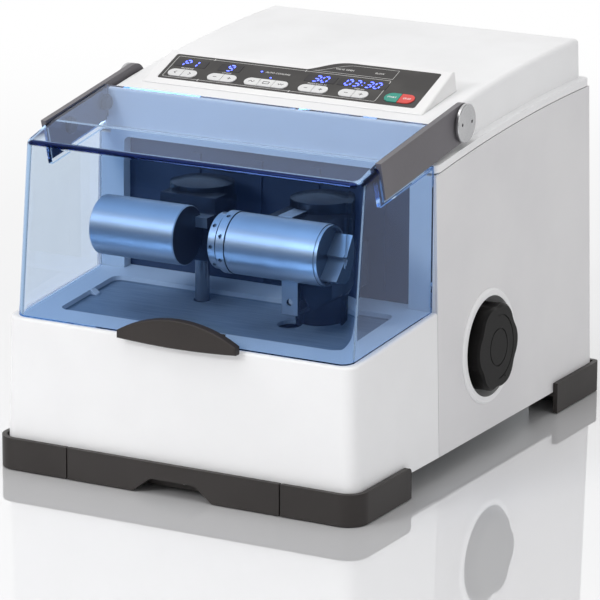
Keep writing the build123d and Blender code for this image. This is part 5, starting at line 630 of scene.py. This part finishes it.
class Piece:
    """A new mesh piece made from whole arrays."""

    BOLDNESS = 0.02
    CURVE_STEPS = 2
    MERGE_DIGITS = 4

    @staticmethod
    def mesh(name: str, points: np.ndarray, faces: list[np.ndarray],
             material: bpy.types.Material) -> bpy.types.Object:
        """Turn arrays into a mesh object of the scene.

        Args:
            name: Name of the object.
            points: Corners as rows of x, y, z in metres.
            faces: Arrays of faces, each row one face's corners.
            material: Its material.

        Returns:
            The object.
        """
        mesh = bpy.data.meshes.new(name)
        rows = [row for block in faces for row in block.tolist()]
        mesh.from_pydata(points.reshape(-1, 3).tolist(), [], rows)
        mesh.validate()
        mesh.materials.append(material)
        made = bpy.data.objects.new(name, mesh)
        bpy.context.scene.collection.objects.link(made)
        LOG.info("made %s with %d corners", name, len(mesh.vertices))
        return made

    @classmethod
    def make(cls, name: str, points: np.ndarray, faces: list[np.ndarray], finish: Finishes, body: str,
             slot: str) -> None:
        """Make a finished piece that rides on a body.

        Args:
            name: Name of the piece.
            points: Corners as rows of x, y, z in metres.
            faces: Arrays of faces, each row one face's corners.
            finish: The finish it gets.
            body: Body it moves with.
            slot: Material slot of the record it belongs to; not used.
        """
        made = cls.mesh(name, points, faces, finish.value.material())
        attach(made, body)

    @staticmethod
    def rings(count: int, corners: int, closed: bool = False) -> np.ndarray:
        """Four cornered faces between closed rings of corners, each ring joined to the next.

        Args:
            count: How many rings there are.
            corners: How many corners a ring has.
            closed: Whether the last ring is joined to the first.

        Returns:
            Faces as rows of four.
        """
        grid = np.arange(count * corners).reshape(count, corners)
        grid = np.vstack([grid, grid[:1]]) if closed else grid
        ahead = np.roll(grid, -1, axis=1)
        return np.stack([grid[:-1], ahead[:-1], ahead[1:], grid[1:]], axis=-1).reshape(-1, 4)

    @classmethod
    def slabs(cls, outlines: np.ndarray, low: float, high: float) -> tuple[np.ndarray, list[np.ndarray]]:
        """Prisms from flat outlines: each outline at height low and again at height high.

        Args:
            outlines: Array of shapes by corners by two, anticlockwise.
            low: Height of the underside.
            high: Height of the top.

        Returns:
            Corners as shapes by two by corners by three, and the faces.
        """
        shapes, count, _ = outlines.shape
        heights = np.array([low, high]).reshape(1, 2, 1, 1)
        flat = np.broadcast_to(outlines[:, None], (shapes, 2, count, 2))
        points = np.concatenate([flat, np.broadcast_to(heights, (shapes, 2, count, 1))], axis=3)
        start = (np.arange(shapes) * 2 * count)[:, None]
        ring = np.arange(count)
        under = start + ring[::-1]
        top = start + count + ring
        sides = start[:, :, None] + cls.rings(2, count)[None]
        return points, [under, top, sides.reshape(-1, 4)]

    @classmethod
    def letters(cls, text: str, size: float, height: float) -> tuple[np.ndarray, np.ndarray]:
        """Letters as a mesh of triangles with doubled corners merged, middled on the origin.

        Args:
            text: The letters.
            size: Letter size.
            height: Thickness of the letters.

        Returns:
            Corners as rows of x, y, z and faces as rows of three.
        """
        curve = bpy.data.curves.new("letters", "FONT")
        curve.body = text
        curve.size = size
        curve.align_x = "CENTER"
        curve.align_y = "CENTER"
        curve.extrude = height / 2
        curve.offset = size * cls.BOLDNESS
        curve.resolution_u = cls.CURVE_STEPS
        sheet = bpy.data.objects.new("letters", curve)
        bpy.context.scene.collection.objects.link(sheet)
        ready = sheet.evaluated_get(bpy.context.evaluated_depsgraph_get())
        mesh = bpy.data.meshes.new_from_object(ready)
        mesh.calc_loop_triangles()
        points = np.empty(len(mesh.vertices) * 3)
        mesh.vertices.foreach_get("co", points)
        faces = np.empty(len(mesh.loop_triangles) * 3, dtype=np.int32)
        mesh.loop_triangles.foreach_get("vertices", faces)
        bpy.data.objects.remove(sheet)
        bpy.data.meshes.remove(mesh)
        bpy.data.curves.remove(curve)
        merged, index = np.unique(points.reshape(-1, 3).round(cls.MERGE_DIGITS), axis=0,
                                  return_inverse=True)
        rows = index.reshape(-1)[faces].reshape(-1, 3)
        whole = (rows[:, 0] != rows[:, 1]) & (rows[:, 1] != rows[:, 2]) & (rows[:, 2] != rows[:, 0])
        return merged + np.array([0.0, 0.0, height / 2]), rows[whole]


def circle(turn: np.ndarray) -> np.ndarray:
    """Points (cos t, sin t) of the unit circle at the angles t."""
    return np.stack([np.cos(turn), np.sin(turn)], axis=1)


@dataclass
class SlopePlane:
    """The console's sloping face: x to the right, u up the slope, n out of it, all in millimetres."""

    front_y: float = -82.5
    front_z: float = 345.5
    slope: float = math.radians(21.0)

    def world(self, points: np.ndarray) -> np.ndarray:
        """Places in the frame of points given as x, u, n.

        y = front_y + u cos(slope) - n sin(slope), z = front_z + u sin(slope) + n cos(slope).

        Args:
            points: Array whose last axis is x, u, n in millimetres.

        Returns:
            Array of the same shape in metres.
        """
        x, u, n = points[..., 0], points[..., 1], points[..., 2]
        y = self.front_y + u * math.cos(self.slope) - n * math.sin(self.slope)
        z = self.front_z + u * math.sin(self.slope) + n * math.cos(self.slope)
        return np.stack([x, y, z], axis=-1) * MM


class Sign(Enum):
    """Marks of the keys: strokes from point to point round the mark's middle, in millimetres."""

    MINUS = (((-2.0, 0.0), (2.0, 0.0)),)
    PLUS = (((-2.0, 0.0), (2.0, 0.0)), ((0.0, -2.0), (0.0, 2.0)))
    BACK = (((1.2, -2.0), (-1.2, 0.0)), ((-1.2, 0.0), (1.2, 2.0)))
    NEXT = (((-1.2, -2.0), (1.2, 0.0)), ((1.2, 0.0), (-1.2, 2.0)))
    SLOW = (((-3.0, -1.0), (-1.0, 1.2)), ((-1.0, 1.2), (1.0, -1.0)), ((1.0, -1.0), (3.0, 1.2)))
    FAST = (((-3.0, 1.2), (-1.5, -1.0)), ((-1.5, -1.0), (0.0, 1.2)), ((0.0, 1.2), (1.5, -1.0)),
            ((1.5, -1.0), (3.0, 1.2)))
    FRAME = (((-3.2, -1.8), (3.2, -1.8)), ((3.2, -1.8), (3.2, 1.8)), ((3.2, 1.8), (-3.2, 1.8)),
             ((-3.2, 1.8), (-3.2, -1.8)))


@dataclass
class ControlPanel:
    """Everything on the sloping console: overlay, print, displays, keys and their marks.

    Sizes are millimetres on the slope. The border is its left, right, low and high edge and corner
    radius, the brow bend its foot, crest and top, and a caption its text, middle and letter size.
    """

    overlay_print: tuple[Finishes, str, str] = (Finishes.INK_LIGHT, "housing", "overlay_dark")
    plane: SlopePlane = field(default_factory=SlopePlane)
    print_foot: float = 0.025
    print_top: float = 0.05
    tick_top: float = 0.07
    glow_foot: float = 0.17
    glow_top: float = 0.25
    mark_foot: float = 0.715
    mark_top: float = 0.76
    word_foot: float = 0.71
    word_size: float = 3.4
    mark_stroke: float = 0.75
    mark_overrun: float = 0.2
    row: float = 20.4
    main_row: float = 22.0
    border: tuple[float, float, float, float, float] = (-137.4, 97.4, 12.0, 49.6, 2.2)
    border_width: float = 0.55
    corner_points: int = 7
    brow_bend: Triple = (8.0, 50.0, 67.6)
    brow_low: float = 52.0
    brow_width: float = 0.45
    brow_points: int = 13
    tick: float = 3.6
    tick_width: float = 0.9
    tick_places: tuple[float, ...] = (-97.0, 4.2)
    captions: tuple[tuple[str, float, float, float], ...] = (
        ("PROGRAM", -118.0, 29.5, 2.9), ("CYCLES", -73.6, 29.5, 2.9), ("AUTO COOLING", -21.5, 39.1, 3.5),
        ("FREQUENCY 1/s", 26.4, 29.5, 2.9), ("TIME min", 72.2, 29.5, 2.9),
        ("VALVE OPEN", 42.0, 59.0, 3.5), ("FLOW", 80.0, 59.0, 3.5))
    display_row: float = 38.4
    digit_height: float = 9.8
    digit_width: float = 5.6
    digit_pitch: float = 8.9
    digit_slant: float = 0.16
    stroke: float = 1.35
    tip_share: float = 0.62
    colon_cell: float = 0.5
    colon_core: float = 0.1
    colon_rows: Pair = (0.55, 1.45)
    displays: tuple[tuple[str, float], ...] = (("P1", -118.0), ("9", -73.6), ("30", 26.4),
                                               ("03:30", 72.2))
    lamps: tuple[Pair, ...] = ((-39.3, 39.1), (-25.0, 30.4))
    lamp_radius: float = 1.05
    lamp_points: int = 24
    keys: tuple[tuple[str, Sign], ...] = (
        ("program_down", Sign.BACK), ("program_up", Sign.NEXT), ("cycles_down", Sign.MINUS),
        ("cycles_up", Sign.PLUS), ("cooling_down", Sign.SLOW), ("cooling_mode", Sign.FRAME),
        ("cooling_up", Sign.FAST), ("frequency_down", Sign.MINUS), ("frequency_up", Sign.PLUS),
        ("time_down", Sign.MINUS), ("time_up", Sign.PLUS))

    def build(self) -> None:
        """Finish the console's nodes and add its print, digits and key marks."""
        coat(Finishes.CONSOLE_WHITE, "control_console")
        coat(Finishes.OVERLAY, "control_overlay")
        coat(Finishes.DISPLAY, "display_windows")
        coat(Finishes.BOARD, "control_board")
        coat(Finishes.KEY_WHITE, *["key_" + key for key, _ in self.keys])
        coat(Finishes.KEY_GREEN, "key_start")
        coat(Finishes.KEY_RED, "key_stop")
        self.digits()
        self.lamp_discs()
        self.overlay_lines()
        self.key_marks()

    def digits(self) -> None:
        """Lit figures: each lit segment is a six cornered bar, leaning by the slant."""
        lit = {"0": "abcdef", "1": "bc", "3": "abcdg", "9": "abcdfg", "P": "abefg"}
        half = self.digit_width / 2
        tall = self.digit_height / 2
        ends = {"a": ((-half, 2 * tall), (half, 2 * tall)), "b": ((half, tall), (half, 2 * tall)),
                "c": ((half, 0), (half, tall)), "d": ((-half, 0), (half, 0)),
                "e": ((-half, 0), (-half, tall)), "f": ((-half, tall), (-half, 2 * tall)),
                "g": ((-half, tall), (half, tall))}
        for text, centre in self.displays:
            places = self.cells(text)
            bars = [np.array(ends[s]) + (x, 0.0) for sign, x in places if sign in lit for s in lit[sign]]
            flat = self.bars(np.array(bars), self.stroke, self.stroke * self.tip_share)
            dots = [np.array([(x - self.colon_core, tall * row), (x + self.colon_core, tall * row)])
                    for sign, x in places if sign == ":" for row in self.colon_rows]
            if dots:
                flat = np.concatenate([flat, self.bars(np.array(dots), self.stroke, -self.stroke / 2)])
            flat[..., 0] += flat[..., 1] * self.digit_slant + centre - tall * self.digit_slant
            flat[..., 1] += self.display_row - tall
            self.glowing("digits_" + text.replace(":", "_"), flat)

    def glowing(self, name: str, flat: np.ndarray) -> None:
        """Lit prisms on the display windows.

        Args:
            name: Name of the piece.
            flat: Outlines as shapes by corners by two.
        """
        points, faces = Piece.slabs(flat, self.glow_foot, self.glow_top)
        Piece.make(name, self.plane.world(points), faces, Finishes.GLOW_BLUE, "housing", "display_dark")

    def cells(self, text: str) -> list[tuple[str, float]]:
        """Where each sign of a display stands, with a colon taking part of a cell.

        Args:
            text: The display's signs.

        Returns:
            Each sign with the middle of its cell.
        """
        widths = np.array([self.colon_cell if sign == ":" else 1.0 for sign in text]) * self.digit_pitch
        middles = np.cumsum(widths) - widths / 2 - widths.sum() / 2
        return list(zip(text, middles.tolist()))

    @staticmethod
    def bars(ends: np.ndarray, width: float, inset: float) -> np.ndarray:
        """Six cornered bars between pairs of points, pointed at both ends.

        Args:
            ends: Array of bars by two ends by two.
            width: Width of a bar.
            inset: How far its tips stop short of the ends.

        Returns:
            Array of bars by six corners by two, anticlockwise.
        """
        along = ends[:, 1] - ends[:, 0]
        along = along / np.linalg.norm(along, axis=1, keepdims=True)
        across = np.stack([-along[:, 1], along[:, 0]], axis=1)
        first = ends[:, 0] + along * inset
        last = ends[:, 1] - along * inset
        half = width / 2
        return np.stack([first, first + (along - across) * half, last - (along + across) * half, last,
                         last - (along - across) * half, first + (along + across) * half], axis=1)

    def lamp_discs(self) -> None:
        """Small lit discs on the two lamps."""
        turn = np.linspace(0, 2 * math.pi, self.lamp_points, endpoint=False)
        disc = circle(turn) * self.lamp_radius
        self.glowing("lamp_discs", np.stack([disc + centre for centre in self.lamps]))

    def overlay_lines(self) -> None:
        """Thin light line round the groups, the line that follows the overlay's step, ticks and captions.

        The step's line climbs by 3 t squared less 2 t cubed while t goes from 0 to 1.
        """
        left, right, low, high, corner = self.border
        turn = np.linspace(0, math.pi / 2, self.corner_points)
        centres = [(right - corner, high - corner), (left + corner, high - corner),
                   (left + corner, low + corner), (right - corner, low + corner)]
        around = (turn + np.arange(4)[:, None] * math.pi / 2).reshape(-1)
        rounded = np.repeat(np.array(centres), len(turn), axis=0) + circle(around) * corner
        self.line("overlay_frame_line", rounded, self.border_width)
        rise = np.linspace(1.0, 0.0, self.brow_points)
        foot, crest, brow = self.brow_bend
        climb = np.stack([foot + (crest - foot) * rise,
                          self.brow_low + (brow - self.brow_low) * rise ** 2 * (3 - 2 * rise)], axis=1)
        self.line("overlay_brow_line", np.concatenate([[(right, self.brow_low), (right, brow)], climb]),
                  self.brow_width)
        ends = np.array([[(x, u - self.tick / 2), (x, u + self.tick / 2)]
                         for x in self.tick_places for u in (low, high)])
        points, faces = Piece.slabs(self.bars(ends, self.tick_width, 0.0), self.print_foot, self.tick_top)
        Piece.make("overlay_ticks", self.plane.world(points), faces, *self.overlay_print)
        for number, (text, x, u, size) in enumerate(self.captions):
            self.word("caption_%d" % number, text, (x, u), size, self.print_foot, self.overlay_print)

    def line(self, name: str, path: np.ndarray, width: float) -> None:
        """Closed printed line: a band along a path, widened inwards along the mean normal of each corner.

        Args:
            name: Name of the piece.
            path: Corners of the outer edge, anticlockwise.
            width: Width of the band.
        """
        along = np.roll(path, -1, axis=0) - path
        along = along / np.linalg.norm(along, axis=1, keepdims=True)
        normal = np.stack([-along[:, 1], along[:, 0]], axis=1)
        middle = normal + np.roll(normal, 1, axis=0)
        inner = path + middle / (middle * normal).sum(axis=1, keepdims=True) * width
        low = np.full((len(path), 1), self.print_foot)
        high = np.full((len(path), 1), self.print_top)
        section = [np.hstack(edge) for edge in ((path, low), (path, high), (inner, high), (inner, low))]
        faces = Piece.rings(len(section), len(path), closed=True)
        Piece.make(name, self.plane.world(np.stack(section)), [faces], *self.overlay_print)

    def word(self, name: str, text: str, place: Pair, size: float, level: float,
             belongs: tuple[Finishes, str, str]) -> None:
        """Printed word that lies on the slope.

        Args:
            name: Name of the piece.
            text: The word.
            place: Its middle as x and u.
            size: Letter size.
            level: Height of its underside.
            belongs: Its finish, body and material slot.
        """
        points, faces = Piece.letters(text, size, self.print_foot)
        shifted = points + np.array([place[0], place[1], level])
        Piece.make(name, self.plane.world(shifted), [faces], *belongs)

    def key_marks(self) -> None:
        """Grey mark on each key and the word on the start and stop keys."""
        for key, sign in self.keys:
            low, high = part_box("key_" + key)
            shape = self.bars(np.array(sign.value), self.mark_stroke, -self.mark_overrun)
            shape = shape + ((low.x + high.x) / 2 / MM, self.row)
            points, faces = Piece.slabs(shape, self.mark_foot, self.mark_top)
            Piece.make("mark_" + key, self.plane.world(points), faces, Finishes.INK_DARK, "button_" + key,
                       "key_white")
        for key, slot in (("start", "key_green"), ("stop", "key_red")):
            low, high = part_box("key_" + key)
            self.word("word_" + key, key.upper(), ((low.x + high.x) / 2 / MM, self.main_row),
                      self.word_size, self.word_foot, (Finishes.INK_WHITE, "button_" + key, slot))


@dataclass
class Housing:
    """Body shell: white mouldings, lacquered sides, charcoal skirts and the drawer."""

    catch: Triple = (4.0, -271.7, 11.1)
    catch_radii: Triple = (2.25, 2.25, 1.575)
    catch_depths: Triple = (0.6, 0.0, -0.5)
    catch_points: int = 24

    def build(self) -> None:
        """Finish every fixed outer node."""
        coat(Finishes.SHELL, "front_shell")
        coat(Finishes.WHITE_MOULDING, "top_cover")
        coat(Finishes.CHAMBER_WHITE, "chamber_surround")
        coat(Finishes.SIDE_LACQUER, "side_panel_left", "side_panel_right", "rear_panel")
        coat(Finishes.SKIRT, "skirt_corners", "rear_feet", "accessory_drawer")
        coat(Finishes.RUBBER, "foot_pads")
        coat(Finishes.ZINC, "base_plate")
        self.catch_cap()

    def catch_cap(self) -> None:
        """Bright cap of the drawer's catch: three rings of radius r at the same angles t round y.

        x = place + r cos t, z = height + r sin t, y = place + the ring's depth, foot first and face last.
        """
        turn = np.linspace(0, 2 * math.pi, self.catch_points, endpoint=False)
        x, y, z = self.catch
        radius = np.array(self.catch_radii)[:, None]
        depth = np.array(self.catch_depths)[:, None]
        points = np.stack([x + radius * np.cos(turn), y + depth + 0 * turn, z + radius * np.sin(turn)],
                          axis=-1)
        ring = np.arange(self.catch_points)[None]
        count = len(self.catch_radii)
        faces = [Piece.rings(count, self.catch_points), ring[:, ::-1],
                 ring + (count - 1) * self.catch_points]
        Piece.make("catch_cap", points * MM, faces, Finishes.CATCH, "drawer", "machine_steel")


@dataclass
class Hood:
    """Tinted hood with its arms, screws, handle and pivot pins."""

    def build(self) -> None:
        """Finish the hood's nodes."""
        coat(Finishes.HOOD, "hood_window")
        coat(Finishes.ARM, "hood_arms")
        coat(Finishes.DARK_STEEL, "hood_screws")
        coat(Finishes.HANDLE, "hood_handle")
        coat(Finishes.DISC, "pivot_pins")


@dataclass
class MillLine:
    """Bulkhead, jar, counterweight and the two columns in the chamber."""

    def build(self) -> None:
        """Finish the chamber's nodes."""
        coat(Finishes.BULKHEAD, "chamber_bulkhead")
        coat(Finishes.STEEL, "cooling_sleeve", "grinding_jar", "jar_screw_cap", "counterweight",
             "jar_cradle")
        coat(Finishes.DARK_STEEL, "jar_column", "counter_column")
        coat(Finishes.GROUND, "grinding_ball")


@dataclass
class DriveTrain:
    """Motor, crank, yoke and frame below the floor."""

    def build(self) -> None:
        """Finish the hidden mechanism."""
        coat(Finishes.CAST, "bearing_frame", "drive_yoke")
        coat(Finishes.GROUND, "shaft_bearings", "guide_rods", "jar_rocker_shaft", "counter_rocker_shaft",
             "crank_shaft", "motor_pulley")
        coat(Finishes.MOTOR, "drive_motor")
        coat(Finishes.RUBBER, "drive_belt")


@dataclass
class SideAndRear:
    """Side knob with its bezel and everything on the rear panel."""

    def build(self) -> None:
        """Finish the knob and the rear fittings."""
        coat(Finishes.WHITE_MOULDING, "knob_bezel")
        coat(Finishes.KNOB, "side_knob", "cooling_fan", "fan_rotor", "mains_inlet", "power_switch")
        coat(Finishes.BRASS, "nitrogen_inlet")
        coat(Finishes.GROUND, "exhaust_outlet")


# Stage


@dataclass
class Studio:
    """Pale floor that mirrors the mill, white surroundings and soft lamps."""

    half: float = 6.0
    lines: int = 9
    level: float = -0.0002
    mirror: float = 0.5
    polish: float = 0.03
    matt: tuple[str, str] = ("f2f2f3", "ececee")
    mist_scale: float = 3.0
    mist_detail: float = 2.0
    sky: float = 0.6
    dark_side: float = 0.12
    white_behind: Pair = (0.25, 1.9)
    bright_behind: Pair = (0.0, 0.8)
    bright_above: Pair = (0.35, 0.9)
    azimuth: float = math.radians(28.8)
    aim: Triple = (0.0, -0.07, 0.17)
    lamps: tuple[tuple[str, Triple, float, float], ...] = (
        ("key_lamp", (-1.2, -2.8, 1.9), 33.0, 0.9), ("top_lamp", (-0.2, -0.9, 2.9), 24.0, 2.0),
        ("side_lamp", (2.8, -0.6, 1.0), 9.0, 1.6))

    def build(self) -> None:
        """Make the floor, the world and the lamps."""
        self.floor()
        self.world()
        for lamp in self.lamps:
            self.lamp(*lamp)

    def floor(self) -> None:
        """Flat square grid round the origin: corner (i, j) at the i-th and j-th of even places."""
        places = np.linspace(-self.half, self.half, self.lines)
        x, y = np.meshgrid(places, places)
        points = np.stack([x, y, np.full_like(x, self.level)], axis=-1)
        index = np.arange(x.size).reshape(x.shape)
        faces = np.stack([index[:-1, :-1], index[:-1, 1:], index[1:, 1:], index[1:, :-1]], axis=-1)
        Piece.mesh("studio_floor", points, [faces.reshape(-1, 4)], self.floor_material())

    def behind(self, g: Graph, kind: str) -> Socket:
        """How far a place or direction lies behind the mill as the camera looks.

        Args:
            g: Graph of the material or world.
            kind: Kind of coordinates that are read.

        Returns:
            The distance, or the cosine for a direction.
        """
        x, y, _ = g.axes(kind)
        return g.calc("ADD", g.product(x, -math.sin(self.azimuth)), g.product(y, math.cos(self.azimuth)))

    @staticmethod
    def seen(g: Graph) -> tuple[Socket, Socket]:
        """Which rays see the studio instead of being lit by it.

        Args:
            g: Graph of the material or world.

        Returns:
            1 for camera, glossy and transmitted rays, and 1 for glossy rays alone.
        """
        rays = g.add("LightPath")
        glossy = rays["Is Glossy Ray"]
        through = g.calc("MAXIMUM", glossy, rays["Is Transmission Ray"])
        return g.calc("MAXIMUM", rays["Is Camera Ray"], through), glossy

    def floor_material(self) -> bpy.types.Material:
        """Pale gloss that turns to plain white behind the mill.

        Returns:
            The material.
        """
        made = bpy.data.materials.new("studio_floor")
        g = Graph.of(made)
        mist = g.noise(self.mist_scale, self.mist_detail)
        matt = g.add("BsdfDiffuse", g.blend(mist, *[srgb(code) for code in self.matt]))[0]
        gloss = g.add("BsdfGlossy", WHITE, self.polish)[0]
        white = g.add("Emission", WHITE, 1.0)[0]
        share = g.product(g.ramp(self.behind(g, "Object"), *self.white_behind), self.seen(g)[0])
        body = g.add("MixShader", self.mirror, matt, gloss)[0]
        g.add("OutputMaterial", Surface=g.add("MixShader", share, body, white)[0])
        return made

    def world(self) -> None:
        """White to the eye and to glass, softer as light.

        To gloss it is full behind the mill and overhead, and dark behind the camera.
        """
        world = bpy.data.worlds.new("studio")
        g = Graph.of(world)
        seen, glossy = self.seen(g)
        bright = g.calc("MAXIMUM", g.ramp(self.behind(g, "Generated"), *self.bright_behind),
                        g.ramp(g.axes("Generated")[2], *self.bright_above))
        tone = g.calc("MULTIPLY_ADD", bright, 1.0 - self.dark_side, self.dark_side)
        light = g.add("Background", WHITE, self.sky)[0]
        shown = g.add("Background", WHITE, g.calc("MAXIMUM", tone, g.inverse(glossy)))[0]
        g.add("OutputWorld", Surface=g.add("MixShader", seen, light, shown)[0])
        bpy.context.scene.world = world

    def lamp(self, name: str, place: Triple, power: float, size: float) -> None:
        """Square soft lamp that looks at the mill.

        Args:
            name: Name of the lamp.
            place: Where it hangs.
            power: Watts.
            size: Side of the square in metres.
        """
        data = bpy.data.lights.new(name, "AREA")
        data.energy = power
        data.shape = "SQUARE"
        data.size = size
        made = bpy.data.objects.new(name, data)
        made.location = place
        made.rotation_mode = "QUATERNION"
        made.rotation_quaternion = (Vector(self.aim) - Vector(place)).to_track_quat("-Z", "Y")
        bpy.context.scene.collection.objects.link(made)


@dataclass(frozen=True)
class PhotoCamera:
    """Camera at the photograph's viewing angle, roll and shift."""

    azimuth: float = math.radians(28.837)
    elevation: float = math.radians(14.811)
    roll: float = math.radians(0.212)
    distance: float = 4.1063
    target: Triple = (0.0, -0.0665, 0.170)
    lens: float = 253.25
    sensor: float = 36.0
    shift: Pair = (0.0224, -0.0492)
    sight: float = 100.0

    def build(self) -> None:
        """Make the camera and hand it to the scene."""
        sa, ca = math.sin(self.azimuth), math.cos(self.azimuth)
        se, ce = math.sin(self.elevation), math.cos(self.elevation)
        back = Vector((sa * ce, -ca * ce, se))
        right = Vector((ca, sa, 0.0))
        up = back.cross(right)
        turned_right = right * math.cos(self.roll) + up * math.sin(self.roll)
        turned_up = up * math.cos(self.roll) - right * math.sin(self.roll)
        data = bpy.data.cameras.new("photo_camera")
        data.sensor_width = self.sensor
        data.lens = self.lens
        data.shift_x, data.shift_y = self.shift
        data.clip_end = self.sight
        made = bpy.data.objects.new("photo_camera", data)
        axes = Matrix((turned_right, turned_up, back)).transposed().to_4x4()
        made.matrix_world = Matrix.Translation(Vector(self.target) + back * self.distance) @ axes
        bpy.context.scene.collection.objects.link(made)
        bpy.context.scene.camera = made
        bpy.context.scene.view_settings.view_transform = "Standard"
        LOG.info("made photo_camera")


def main() -> None:
    """Build every sub-assembly in order."""
    logging.basicConfig(level=logging.INFO, format="%(message)s")
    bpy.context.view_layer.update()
    for part in (Housing(), Hood(), MillLine(), DriveTrain(), SideAndRear(), ControlPanel(), Studio(),
                 PhotoCamera()):
        LOG.info("building %s", type(part).__name__)
        part.build()


if __name__ == "__main__":
    main()
